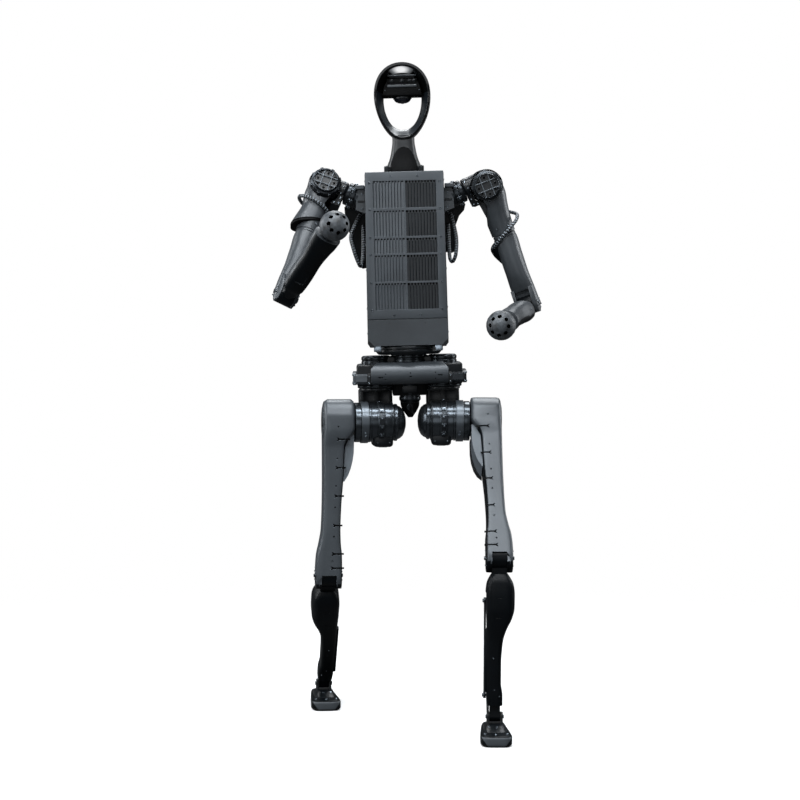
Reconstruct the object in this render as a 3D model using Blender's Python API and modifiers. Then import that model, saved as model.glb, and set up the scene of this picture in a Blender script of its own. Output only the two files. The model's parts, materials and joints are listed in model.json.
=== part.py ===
"""Full-size bipedal humanoid robot, standing mid-stride.

Metres, +Z up, the robot faces -Y and its left side is +X.  Every moving link
hangs from an empty that sits on its joint axis, so the kinematic tree can be
read straight from the empties.
"""
import bpy
import bmesh
import math
from math import sin, cos, pi, radians
from mathutils import Matrix, Vector

# ----------------------------------------------------------------- dimensions
PELVIS_HEIGHT = 0.957        # waist axis origin above the floor (re-solved below)
HIP_YAW_X = 0.0875           # hip yaw axis from the middle plane
HIP_YAW_Z = -0.1742
HIP_ROLL_Y = -0.0395
HIP_PITCH_X = 0.11536        # hip roll axis to hip pitch centre
THIGH = 0.400
SHANK = 0.400
SOLE = 0.0565                 # ankle axis above the sole
KNEE_X = 0.019               # knee fork centre outboard of the leg frame
ANKLE_X = 0.010              # ankle and foot centre outboard of the leg frame
SHOULDER_X = 0.15535
SHOULDER_Y = -0.0055
SHOULDER_Z = 0.430
SHOULDER_TILT = 25.0
ROLL_OFF = (0.0565, 0.0055, -0.0165)
ARM_YAW_Z = -0.1343
ELBOW_OFF = (0.0, -0.0185, -0.198)
BALL_OFF = (0.0, -0.2605, -0.0185)
BALL_R = 0.0380
MOTOR_R = 0.0530             # hip pitch motor
TORSO_TOP = 0.478
TORSO_BOTTOM = 0.034
TORSO_HALF_TOP = 0.1025
TORSO_HALF_BOTTOM = 0.1055
TORSO_FRONT = -0.085
TORSO_BACK = 0.088
HEAD_TOP = 0.761
HEAD_BOTTOM = 0.561
ROLL_NECK = -0.0055          # pitch axis from the roll axis, along Y
CRANK = (0.034, 0.048)       # ankle lever, back and up
CRANK_Z = -0.160             # crank pivot below the knee, on the shank
GAP = 0.0003
WALL = 0.004

# stance, degrees
PELVIS_X = 0.0045
PELVIS_YAW = 0.7
PELVIS_ROLL = 1.84           # whole upper body leans to its own right
WAIST_YAW = -1.5
LEG = {'left': dict(yaw=0.0, pitch=-33.4, knee=31.1),
       'right': dict(yaw=6.4, pitch=-3.2, knee=38.2)}
ARM = {'left': dict(pitch=3.3, roll=19.5, yaw=-21.2, elbow=-3.1),
       'right': dict(pitch=-26.4, roll=-20.6, yaw=15.3, elbow=-31.1)}
SIDES = (('left', 1), ('right', -1))

# ------------------------------------------------------------------ start empty
for _o in list(bpy.data.objects):
    bpy.data.objects.remove(_o, do_unlink=True)

model = bpy.data.collections.new("humanoid_robot")
cutters = bpy.data.collections.new("cutters")
bpy.context.scene.collection.children.link(model)
bpy.context.scene.collection.children.link(cutters)


def material(name, rgb, rough, metal):
    m = bpy.data.materials.new(name)
    m.use_nodes = True
    b = m.node_tree.nodes["Principled BSDF"]
    b.inputs["Base Color"].default_value = (*rgb, 1)
    b.inputs["Roughness"].default_value = rough
    b.inputs["Metallic"].default_value = metal
    m.diffuse_color = (*rgb, 1)
    return m


MAT = dict(
    casing=("casing_grey", (0.10, 0.115, 0.125), 0.48, 0.25),
    panel=("panel_slate", (0.060, 0.068, 0.076), 0.5, 0.2),
    black=("black_plastic", (0.012, 0.013, 0.016), 0.42, 0.0),
    gloss=("gloss_black", (0.006, 0.006, 0.008), 0.08, 0.0),
    motor=("motor_aluminium", (0.045, 0.048, 0.052), 0.28, 0.8),
    pad=("pad_grey", (0.20, 0.215, 0.225), 0.55, 0.0),
    rubber=("rubber_black", (0.010, 0.010, 0.011), 0.7, 0.0),
    steel=("bright_steel", (0.55, 0.56, 0.57), 0.3, 1.0),
    lens=("lens_glass", (0.01, 0.012, 0.02), 0.05, 0.0),
    battery=("battery_wrap", (0.03, 0.035, 0.05), 0.5, 0.0),
    board=("board_green", (0.02, 0.08, 0.05), 0.5, 0.0),
    cable=("cable_black", (0.015, 0.015, 0.016), 0.55, 0.0),
)


def own_material(obj, key):
    """Each piece carries its own material."""
    n, rgb, rough, metal = MAT[key]
    obj.data.materials.clear()
    obj.data.materials.append(material(n + "." + obj.name, rgb, rough, metal))


# --------------------------------------------------------------- kinematic tree
def empty(name, parent, matrix):
    e = bpy.data.objects.new(name, None)
    e.empty_display_size = 0.05
    model.objects.link(e)
    e.parent = parent
    e.matrix_local = matrix
    return e


def T(x, y, z):
    return Matrix.Translation((x, y, z))


def R(axis, deg):
    return Matrix.Rotation(radians(deg), 4, axis)


PELVIS = R('Z', PELVIS_YAW) @ R('Y', -PELVIS_ROLL)


def leg_chain(s, yaw, roll, pitch, knee, ankle):
    """Hip yaw, roll, pitch, knee and ankle frames, each in its parent's."""
    return [T(s * HIP_YAW_X, 0, HIP_YAW_Z) @ R('Z', yaw),
            T(0, HIP_ROLL_Y, 0) @ R('Y', -roll),
            T(s * HIP_PITCH_X, 0, 0) @ R('X', pitch),
            T(0, 0, -THIGH) @ R('X', knee),
            T(0, 0, -SHANK) @ R('X', ankle)]


def flat_foot(s, a):
    """Hip roll and ankle that lay the sole level for the other angles."""
    v = (PELVIS @ R('Z', a['yaw'])).transposed() @ Vector((0, 0, 1))
    total = -math.degrees(math.asin(v.y))
    roll = -math.degrees(math.atan2(v.x, v.z))
    return roll, total - a['pitch'] - a['knee']


def sole_height(s, a):
    roll, ankle = flat_foot(s, a)
    m = PELVIS.copy()
    for step in leg_chain(s, a['yaw'], roll, a['pitch'], a['knee'], ankle):
        m = m @ step
    return (m @ Vector((s * ANKLE_X, 0, -SOLE))).z


# the left thigh is lifted until both soles lie in one plane
_lo, _hi = -45.0, -20.0
_target = sole_height(-1, LEG['right'])
for _i in range(50):
    _mid = (_lo + _hi) / 2
    LEG['left']['pitch'] = _mid
    LEG['left']['knee'] = 31.1 - 33.4 - _mid
    if sole_height(1, LEG['left']) < _target:
        _hi = _mid
    else:
        _lo = _mid
PELVIS_HEIGHT = -_target

BODY = {}
ROOT = empty("origin", None, Matrix.Identity(4))
BODY['pelvis'] = empty("axis_pelvis", ROOT, T(PELVIS_X, 0, PELVIS_HEIGHT) @ PELVIS)
BODY['torso'] = empty("axis_torso", BODY['pelvis'], R('Z', WAIST_YAW))
for side, s in SIDES:
    a = LEG[side]
    roll, ankle = flat_foot(s, a)
    a['roll'], a['ankle'] = roll, ankle
    parent = BODY['pelvis']
    for part, m in zip(('hip', 'hip_carrier', 'thigh', 'shank', 'foot'),
                       leg_chain(s, a['yaw'], roll, a['pitch'], a['knee'], ankle)):
        key = part + '_' + side
        BODY[key] = empty("axis_" + key, parent, m)
        parent = BODY[key]
    BODY['crank_' + side] = empty("axis_crank_" + side, BODY['shank_' + side],
                                  T(0, 0, CRANK_Z) @ R('X', ankle))
    BODY['rod_' + side] = empty("axis_rod_" + side, BODY['crank_' + side],
                                T(0, CRANK[0], CRANK[1]) @ R('X', -ankle))
    b = ARM[side]
    parent = BODY['torso']
    for part, m in (
            ('shoulder', T(s * SHOULDER_X, SHOULDER_Y, SHOULDER_Z)
             @ R('Y', -s * SHOULDER_TILT) @ R('X', b['pitch'])),
            ('upper_arm', T(s * ROLL_OFF[0], ROLL_OFF[1], ROLL_OFF[2])
             @ R('Y', s * SHOULDER_TILT) @ R('Y', -b['roll'])),
            ('lower_arm', T(0, 0, ARM_YAW_Z) @ R('Z', b['yaw'])),
            ('forearm', T(*ELBOW_OFF) @ R('X', b['elbow']))):
        key = part + '_' + side
        BODY[key] = empty("axis_" + key, parent, m)
        parent = BODY[key]


# ------------------------------------------------------------------ shape tools
def new_object(name, mesh, body, key, matrix=None, smooth=40.0):
    o = bpy.data.objects.new(name, mesh)
    model.objects.link(o)
    o.parent = BODY[body]
    o.matrix_local = matrix or Matrix.Identity(4)
    if smooth:
        mesh.shade_smooth()
        mesh.set_sharp_from_angle(angle=radians(smooth))
    own_material(o, key)
    return o


def guide(mesh, body, matrix=None):
    o = bpy.data.objects.new("cutter", mesh)
    cutters.objects.link(o)
    o.parent = BODY[body]
    o.matrix_local = matrix or Matrix.Identity(4)
    o.hide_render = True
    o.display_type = 'WIRE'
    return o


def boolean(obj, other, op='DIFFERENCE'):
    m = obj.modifiers.new(op.lower(), 'BOOLEAN')
    m.operation = op
    m.object = other
    m.solver = 'EXACT'
    return m


def to_mesh(bm, name):
    bmesh.ops.recalc_face_normals(bm, faces=bm.faces)
    me = bpy.data.meshes.new(name)
    bm.to_mesh(me)
    bm.free()
    return me


def box_mesh(name, lo, hi, bevel=0.0, seg=2, taper=None):
    bm = bmesh.new()
    bmesh.ops.create_cube(bm, size=1.0)
    c = [(l + h) / 2 for l, h in zip(lo, hi)]
    d = [h - l for l, h in zip(lo, hi)]
    for v in bm.verts:
        top = v.co.z > 0
        k = taper if (taper and top) else 1.0
        v.co = Vector((c[0] + v.co.x * d[0] * k, c[1] + v.co.y * d[1], c[2] + v.co.z * d[2]))
    if bevel:
        bmesh.ops.bevel(bm, geom=list(bm.edges) + list(bm.verts), offset=bevel, segments=seg,
                        profile=0.5, affect='EDGES', clamp_overlap=True)
    return to_mesh(bm, name)


def cyl_mesh(name, r, lo, hi, axis='Z', seg=24, center=(0, 0, 0), bevel=0.0, r2=None):
    bm = bmesh.new()
    bmesh.ops.create_cone(bm, cap_ends=True, segments=seg, radius1=r, radius2=r2 if r2 else r, depth=hi - lo)
    if bevel:
        e = [e for e in bm.edges if any(len(f.verts) > 4 for f in e.link_faces)]
        bmesh.ops.bevel(bm, geom=e, offset=bevel, segments=2, profile=0.5, affect='EDGES')
    m = {'Z': Matrix.Identity(4), 'X': R('Y', 90), 'Y': R('X', -90)}[axis]
    bmesh.ops.transform(bm, matrix=T(*center) @ m @ T(0, 0, (lo + hi) / 2), verts=bm.verts)
    return to_mesh(bm, name)


def turned(name, profile, axis, center, body, key, steps=32, matrix=None):
    """Turned shape: profile of (radius, height) from the top of the axis down
    its outer side, spun with Screw; the height axis then points along axis."""
    me = bpy.data.meshes.new(name)
    me.from_pydata([(r, 0, h) for r, h in profile],
                   [(i, i + 1) for i in range(len(profile) - 1)], [])
    m = {'Z': Matrix.Identity(4), 'X': R('Y', 90), 'Y': R('X', -90),
         '-X': R('Y', -90), '-Y': R('X', 90)}[axis]
    o = new_object(name, me, body, key, (matrix or Matrix.Identity(4)) @ T(*center) @ m, smooth=0)
    sc = o.modifiers.new("turn", 'SCREW')
    sc.axis = 'Z'
    sc.steps = steps
    sc.render_steps = steps
    sc.use_merge_vertices = True
    sc.merge_threshold = 0.00001
    sc.use_smooth_shade = True
    return o


def plate_mesh(name, outline, thick, normal='X', offset=0.0):
    """Flat outline as a filled 2D curve, extruded by half its thickness."""
    cu = bpy.data.curves.new(name, 'CURVE')
    cu.dimensions = '2D'
    cu.fill_mode = 'BOTH'
    cu.extrude = thick / 2
    sp = cu.splines.new('POLY')
    sp.points.add(len(outline) - 1)
    for p, (u, v) in zip(sp.points, outline):
        p.co = (u, v, 0, 1)
    sp.use_cyclic_u = True
    tmp = bpy.data.objects.new(name, cu)
    cutters.objects.link(tmp)
    dg = bpy.context.evaluated_depsgraph_get()
    me = bpy.data.meshes.new_from_object(tmp.evaluated_get(dg))
    bpy.data.objects.remove(tmp, do_unlink=True)
    bm = bmesh.new()
    bm.from_mesh(me)
    bmesh.ops.remove_doubles(bm, verts=bm.verts, dist=0.00001)
    # outline (u, v) lies in YZ for an X normal, XZ for Y, XY for Z
    m = {'X': Matrix(((0, 0, 1, 0), (1, 0, 0, 0), (0, 1, 0, 0), (0, 0, 0, 1))),
         'Y': Matrix(((1, 0, 0, 0), (0, 0, 1, 0), (0, 1, 0, 0), (0, 0, 0, 1))),
         'Z': Matrix.Identity(4)}[normal]
    off = {'X': T(offset, 0, 0), 'Y': T(0, offset, 0), 'Z': T(0, 0, offset)}[normal]
    bmesh.ops.transform(bm, matrix=off @ m, verts=bm.verts)
    return to_mesh(bm, name)


def ring(cx, cy, z, hx, hy, n=4.0, count=24, s=1):
    """Superellipse section in a horizontal plane."""
    pts = []
    for i in range(count):
        t = 2 * pi * i / count
        c, q = cos(t), sin(t)
        pts.append(Vector((s * (cx + hx * math.copysign(abs(c) ** (2 / n), c)),
                           cy + hy * math.copysign(abs(q) ** (2 / n), q), z)))
    return pts


def loft_mesh(name, rings, closed=False):
    """Skin between unlike sections; flat end caps unless the loft closes."""
    bm = bmesh.new()
    vs = [[bm.verts.new(p) for p in r] for r in rings]
    n = len(rings[0])
    last = len(vs) if closed else len(vs) - 1
    for i in range(last):
        a, b = vs[i], vs[(i + 1) % len(vs)]
        for j in range(n):
            bm.faces.new((a[j], a[(j + 1) % n], b[(j + 1) % n], b[j]))
    if not closed:
        bm.faces.new(vs[0][::-1])
        bm.faces.new(vs[-1])
    return to_mesh(bm, name)


def lerp_table(table, z):
    """Linear value from rows (z, a, b, ...), z falling."""
    if z >= table[0][0]:
        return table[0][1:]
    for p, q in zip(table, table[1:]):
        if z >= q[0]:
            k = (p[0] - z) / (p[0] - q[0])
            return [a + (b - a) * k for a, b in zip(p[1:], q[1:])]
    return table[-1][1:]


def tube(name, points, r, body, key, res=2):
    cu = bpy.data.curves.new(name, 'CURVE')
    cu.dimensions = '3D'
    cu.bevel_depth = r
    cu.bevel_resolution = res
    cu.use_fill_caps = True
    sp = cu.splines.new('POLY')
    sp.points.add(len(points) - 1)
    for p, c in zip(sp.points, points):
        p.co = (*c, 1)
    o = bpy.data.objects.new(name, cu)
    model.objects.link(o)
    o.parent = BODY[body]
    own_material(o, key)
    return o


def smooth_path(ctrl, count):
    """Catmull-Rom curve through the control points."""
    p = [Vector(c) for c in ctrl]
    p = [2 * p[0] - p[1]] + p + [2 * p[-1] - p[-2]]
    out = []
    spans = len(p) - 3
    for i in range(count + 1):
        u = i / count * spans
        k = min(int(u), spans - 1)
        t = u - k
        a, b, c, d = p[k:k + 4]
        out.append(0.5 * ((2 * b) + (c - a) * t + (2 * a - 5 * b + 4 * c - d) * t * t
                          + (3 * b - a - 3 * c + d) * t ** 3))
    return out


# ---------------------------------------------------------------------- pelvis
# frame: a bridge between the two hip yaw motors, with the waist motor on top
frame = new_object("pelvis_frame", box_mesh("pelvis_frame", (-0.139, -0.050, -0.0768), (0.139, 0.060, -0.022), 0.006, 1),
                   'pelvis', 'black')
for s in (1, -1):
    boolean(frame, guide(cyl_mesh("c", 0.0485, -0.2, 0.1, 'Z', 20, (s * HIP_YAW_X, 0, 0)), 'pelvis'))
boolean(frame, guide(cyl_mesh("c", 0.0305, -0.2, 0.1, 'Z', 28), 'pelvis'))

# waist motor: stator drum through the frame, flange under the turntable
turned("waist_motor", [(0, 0.0018), (0.045, 0.0018), (0.0470, 0.0000), (0.0470, -0.0190), (0.045, -0.0212),
                       (0.0300, -0.0217), (0.0300, -0.086), (0.0285, -0.088), (0.0285, -0.118),
                       (0.022, -0.126), (0, -0.126)], 'Z', (0, 0, 0),
       'pelvis', 'motor', 24)

for side, s in SIDES:
    # hip yaw motor: top cap, drum in the frame bore, wide output flange below
    turned("hip_yaw_motor_" + side,
           [(0, -0.001), (0.036, -0.001), (0.0385, -0.004), (0.0385, -0.0215),
            (0.0475, -0.0217), (0.0475, -0.0775), (0.0500, -0.0785), (0.0500, -0.0835), (0.046, -0.0855),
            (0, -0.0855)],
           'Z', (s * HIP_YAW_X, 0, 0), 'pelvis', 'motor', 20)
    cap = new_object("pelvis_end_cap_" + side,
                     box_mesh("cap", (0.1395, -0.046, -0.076), (0.149, 0.050, -0.044), 0.004, 2)
                     if s > 0 else
                     box_mesh("cap", (-0.149, -0.046, -0.076), (-0.1395, 0.050, -0.044), 0.004, 2),
                     'pelvis', 'black')

# half-round front cover with chamfered top corners
half = []
for i in range(13):
    t = -pi / 2 + pi * i / 12
    half.append((-0.0508 - 0.030 * cos(t), -0.046 + 0.0290 * sin(t)))
cover = new_object("pelvis_front_cover", plate_mesh("pelvis_front_cover", half, 0.202, 'X'), 'pelvis', 'pad')
for s in (1, -1):
    boolean(cover, guide(box_mesh("c", (-0.02, -0.1, -0.02), (0.02, 0.1, 0.02)), 'pelvis',
                         T(s * 0.101, 0, -0.004) @ R('Y', s * 45)))

# ----------------------------------------------------------------------- torso
turned("waist_turntable", [(0, 0.0335), (0.070, 0.0335), (0.0785, 0.0265), (0.087, 0.0240), (0.087, 0.010),
                           (0.080, 0.0022), (0, 0.0022)],
       'Z', (0, 0, 0), 'torso', 'black', 32)


def torso_half(z):
    k = (z - TORSO_BOTTOM) / (TORSO_TOP - TORSO_BOTTOM)
    return TORSO_HALF_BOTTOM + (TORSO_HALF_TOP - TORSO_HALF_BOTTOM) * k


def tapered_slab(name, y0, y1, z0, z1, inset, bevel):
    a, b = torso_half(z0) - inset, torso_half(z1) - inset
    return box_mesh(name, (-a, y0, z0), (a, y1, z1), bevel, 2, taper=b / a)


shell = new_object("torso_shell", tapered_slab("torso_shell", TORSO_FRONT + 0.005, TORSO_BACK - 0.010,
                                               TORSO_BOTTOM, TORSO_TOP, 0.0, 0.005), 'torso', 'panel')
boolean(shell, guide(tapered_slab("c", -0.2, TORSO_BACK - 0.014, TORSO_BOTTOM + WALL, TORSO_TOP - WALL, WALL, 0.0),
                     'torso'))
SEAM = 0.0955
grille = new_object("front_grille", tapered_slab("front_grille", TORSO_FRONT, TORSO_FRONT + 0.005 - GAP,
                                                 SEAM + 0.0006, TORSO_TOP - 0.0005, 0.001, 0.0016), 'torso', 'panel')
for col in (-1, 1):
    for z1, z0 in ((0.4540, 0.3838), (0.3775, 0.3103), (0.3055, 0.2663), (0.2617, 0.1935), (0.1890, 0.1208)):
        boolean(grille, guide(box_mesh("c", (min(col * 0.0022, col * 0.0818), -0.09, z0),
                                       (max(col * 0.0022, col * 0.0818), TORSO_FRONT + 0.0015, z1)), 'torso'))
door = []
hb = torso_half(TORSO_BOTTOM) - 0.001
for u, v in ((-hb + 0.012, TORSO_BOTTOM - 0.007), (hb - 0.012, TORSO_BOTTOM - 0.007), (hb, TORSO_BOTTOM + 0.006),
             (hb - 0.0004, SEAM - 0.0006), (-hb + 0.0004, SEAM - 0.0006), (-hb, TORSO_BOTTOM + 0.006)):
    door.append((u, v))
new_object("battery_cover", plate_mesh("battery_cover", door, 0.005 - GAP, 'Y', TORSO_FRONT + 0.0025 - GAP / 2),
           'torso', 'panel')
new_object("battery_pack", box_mesh("battery_pack", (-0.085, -0.074, 0.0395), (0.085, 0.062, 0.150), 0.006),
           'torso', 'battery')
new_object("computer_unit", box_mesh("computer_unit", (-0.080, -0.060, 0.205), (0.080, 0.060, 0.420), 0.004),
           'torso', 'board')
back = new_object("back_cover", tapered_slab("back_cover", TORSO_BACK - 0.010 + GAP, TORSO_BACK, TORSO_BOTTOM + 0.004,
                                             TORSO_TOP - 0.004, 0.003, 0.003), 'torso', 'casing')
boolean(back, guide(box_mesh("c", (-0.070, TORSO_BACK - 0.003, 0.250), (0.070, TORSO_BACK + 0.02, 0.400)), 'torso'))


# ------------------------------------------------------------------------ head
def egg(t, a, b, k, zc, square):
    c, q = cos(t), sin(t)
    x = a * math.copysign(abs(q) ** square, q) * (1 + k * c)
    return x, zc + b * c


def head_rings(grow):
    rings = []
    for i in range(32):
        t = 2 * pi * i / 32
        xo, zo = egg(t, 0.0728 + grow, 0.100 + grow, 0.17, 0.661, 0.97)
        xi, zi = egg(t, 0.0495 - grow, 0.0710 - grow, 0.10, 0.6610, 0.84)
        depth = 0.034 + 0.020 * (1 + cos(t)) / 2 + grow
        yc = -0.014 - 0.006 * (1 + cos(t)) / 2
        sec = []
        for j in range(10):
            u = 2 * pi * j / 10
            c, q = cos(u), sin(u)
            f = 0.5 + 0.5 * math.copysign(abs(c) ** 0.62, c)
            g = math.copysign(abs(q) ** 0.72, q)
            sec.append(Vector((xi + (xo - xi) * f, yc + depth * g, zi + (zo - zi) * f)))
        rings.append(sec)
    return rings


new_object("head_ring", loft_mesh("head_ring", head_rings(0.0), closed=True), 'torso', 'gloss', smooth=60)
neck_rows = [(0.4785, 0.0500, -0.012, 0.0480, 2.6), (0.485, 0.0485, -0.012, 0.0470, 2.6),
             (0.497, 0.0440, -0.012, 0.0440, 2.8), (0.515, 0.0370, -0.012, 0.0395, 3.0),
             (0.540, 0.0315, -0.013, 0.0350, 3.0), (0.560, 0.0290, -0.014, 0.0320, 3.0),
             (0.580, 0.0290, -0.014, 0.0300, 3.0)]
neck = new_object("neck", loft_mesh("neck", [ring(0, yc, z, hx, hy, n, 20) for z, hx, yc, hy, n in neck_rows]),
                  'torso', 'casing')
boolean(neck, guide(loft_mesh("c", head_rings(0.0006), closed=True), 'torso'))
boolean(neck, guide(box_mesh("c", (-0.04, -0.1, 0.5745), (0.04, 0.1, 0.70)), 'torso'))

# camera bar across the top of the opening, with the lidar under it
bar = new_object("sensor_bar", box_mesh("sensor_bar", (-0.060, -0.048, 0.6750), (0.060, 0.012, 0.742), 0.006, 2),
                 'torso', 'black')
boolean(bar, guide(loft_mesh("c", head_rings(0.0005), closed=True), 'torso'))
# clear the ring's outside so that one body is left
boolean(bar, guide(plate_mesh("c", [egg(2 * pi * i / 32, 0.060, 0.0820, 0.13, 0.661, 0.9) for i in range(32)],
                              0.2, 'Y'), 'torso'), 'INTERSECT')
turned("lidar", [(0, 0.0), (0.0225, 0.0), (0.0225, -0.005), (0.020, -0.010), (0.0150, -0.0140), (0.008, -0.0160),
                 (0, -0.0165)], 'Z', (0, -0.020, 0.6747), 'torso', 'lens', 20)

# ----------------------------------------------------------- shoulders and arms
for side, s in SIDES:
    tilt = T(s * SHOULDER_X, SHOULDER_Y, SHOULDER_Z) @ R('Y', -s * SHOULDER_TILT)
    ax = 'X' if s > 0 else '-X'
    # pitch motor: mounting foot on the shell's side, drum along the tilted axis
    motor = turned("shoulder_pitch_motor_" + side,
                   [(0, -0.0008), (0.026, -0.0008), (0.030, -0.004), (0.030, -0.014), (0.0325, -0.016),
                    (0.0325, -0.026), (0.030, -0.028), (0.028, -0.075), (0, -0.075)],
                   ax, (0, 0, 0), 'torso', 'motor', 20, tilt)
    foot = guide(box_mesh("c", (0.105 if s > 0 else -0.130, -0.036, 0.375), (0.130 if s > 0 else -0.105, 0.026, 0.440),
                          0.004, 1), 'torso')
    boolean(motor, foot, 'UNION')
    side_cut = guide(box_mesh("c", (-0.2, -0.1, 0.0), (0.2, 0.1, 0.6), 0.0), 'torso')
    side_cut.data = tapered_slab("c", -0.2, 0.2, 0.0, 0.6, -GAP, 0.0)
    boolean(motor, side_cut)

    # shoulder link: output flange on the tilted axis, roll drum along Y
    roll = (s * ROLL_OFF[0], ROLL_OFF[1], ROLL_OFF[2])
    link = new_object("shoulder_link_" + side,
                      cyl_mesh("shoulder_link", 0.0330, -0.030, 0.044, 'Y', 24, roll), 'shoulder_' + side, 'black')
    boolean(link, guide(cyl_mesh("c", 0.0270, 0.0, 0.040, 'X', 20) if s > 0 else
                        cyl_mesh("c", 0.0270, -0.040, 0.0, 'X', 20), 'shoulder_' + side), 'UNION')

    ub = 'upper_arm_' + side
    # round shoulder cap with crossed ribs, in front of the roll drum
    cap = turned("shoulder_cap_" + side,
                 [(0, 0.062), (0.020, 0.0625), (0.0290, 0.0595), (0.0320, 0.054), (0.0375, 0.053),
                  (0.0385, 0.050), (0.0385, 0.0365), (0, 0.0365)],
                 '-Y', (0, 0, 0), ub, 'motor', 20)
    # casing: hoop round the shoulder drum, then the drum of the arm yaw motor
    rows = [(0.0, 0.000, 0.042, 0.0460, 2.4), (-0.030, 0.004, 0.0400, 0.0440, 2.4),
            (-0.060, 0.004, 0.0335, 0.0400, 2.3), (-0.085, 0.002, 0.0300, 0.0360, 2.1),
            (-0.110, 0.000, 0.0295, 0.0320, 2.0), (-0.1335, 0.000, 0.0295, 0.0310, 2.0)]
    casing = new_object("upper_arm_casing_" + side,
                        loft_mesh("upper_arm_casing", [ring(cx, 0.002, z, hx, hy, n, 18, s) for z, cx, hx, hy, n in rows]),
                        ub, 'casing')
    boolean(casing, guide(cyl_mesh("c", 0.0435, -0.0355, 0.0480, 'Y', 24), ub), 'UNION')
    # bore for the roll drum, open at the front behind the cap
    boolean(casing, guide(cyl_mesh("c", 0.0345, -0.060, 0.0455, 'Y', 24), ub))
    boolean(casing, guide(cyl_mesh("c", 0.0398, -0.2, -0.0358, 'Y', 24), ub))
    # open window for the link's neck over the whole roll range
    pie = [(0.0, 0.0)]
    for i in range(12):
        t = radians(-4.0 + 256.0 * i / 11)
        pie.append((s * 0.12 * cos(t), 0.12 * sin(t)))
    if s < 0:
        pie = pie[::-1]
    boolean(casing, guide(plate_mesh("c", pie, 0.0600, 'Y', ROLL_NECK), ub))

    lb = 'lower_arm_' + side
    # z, half width, front, back
    rows = [(-0.0004, 0.0295, -0.0310, 0.0310, 2.0), (-0.020, 0.0310, -0.0335, 0.0320, 2.2),
            (-0.060, 0.0300, -0.0375, 0.0270, 2.4), (-0.105, 0.0280, -0.0402, 0.0185, 2.4),
            (-0.135, 0.0272, -0.0392, 0.0110, 2.6), (-0.156, 0.0268, -0.0362, 0.0075, 2.8)]
    low = new_object("lower_arm_casing_" + side,
                     loft_mesh("lower_arm_casing", [ring(0, (f + b) / 2, z, hx, (b - f) / 2, n, 16, s)
                                                    for z, hx, f, b, n in rows]), lb, 'casing')
    # fork round the elbow: two cheeks with the slot between them
    for x in (-1, 1):
        lo, hi = sorted((x * 0.0206, x * 0.0270))
        cheek = [(0.0255 * cos(pi + pi * i / 10), 0.0255 * sin(pi + pi * i / 10)) for i in range(11)]
        cheek += [(0.0235, 0.0480), (-0.0120, 0.0480)]
        boolean(low, guide(plate_mesh("c", cheek, hi - lo, 'X', (lo + hi) / 2), lb, T(*ELBOW_OFF)), 'UNION')
    boolean(low, guide(box_mesh("c", (-0.0206, -0.0010, 0.0200), (0.0206, 0.0225, 0.0470)), lb, T(*ELBOW_OFF)), 'UNION')
    boolean(low, guide(cyl_mesh("c", 0.0262, -0.0205, 0.0205, 'X', 28, ELBOW_OFF), lb))

    fb = 'forearm_' + side
    # forearm: elbow drum between the cheeks, shell that flares into the ball's cup
    sec = [(-0.0100, -0.006, 0.0198, 0.0185, 2.6), (-0.0310, -0.0105, 0.0198, 0.0205, 2.8),
           (-0.045, -0.0115, 0.0270, 0.0245, 2.8), (-0.090, -0.0090, 0.0290, 0.0300, 2.8), (-0.140, -0.0105, 0.0275, 0.0280, 2.6),
           (-0.180, -0.0120, 0.0305, 0.0275, 2.5), (-0.205, -0.0150, 0.0340, 0.0285, 2.3), (-0.2180, -0.0165, 0.0345, 0.0290, 2.2)]
    rings = []
    for y, zc, hx, hz, n in sec:
        r = ring(0, zc, 0, hx, hz, n, 16)
        rings.append([Vector((p.x, y, p.y)) for p in r])
    fore = new_object("forearm_casing_" + side, loft_mesh("forearm_casing", rings), fb, 'casing')
    boolean(fore, guide(cyl_mesh("c", 0.0255, -0.0200, 0.0200, 'X', 24), fb), 'UNION')
    # the arm-end ball, cut flat where it bolts to the wrist
    bm = bmesh.new()
    bmesh.ops.create_uvsphere(bm, u_segments=18, v_segments=10, radius=BALL_R)
    bmesh.ops.transform(bm, matrix=R('X', 90), verts=bm.verts)
    ball = new_object("arm_end_ball_" + side, to_mesh(bm, "arm_end_ball"), fb, 'black', T(*BALL_OFF), smooth=60)
    boolean(ball, guide(box_mesh("c", (-0.05, 0.0425 - 0.0005, -0.05), (0.05, 0.09, 0.05)), fb, T(*BALL_OFF)))
    boolean(fore, guide(box_mesh("c", (-0.05, -0.06, -0.05), (0.05, 0.0430, 0.05)), fb, T(*BALL_OFF)))

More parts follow.
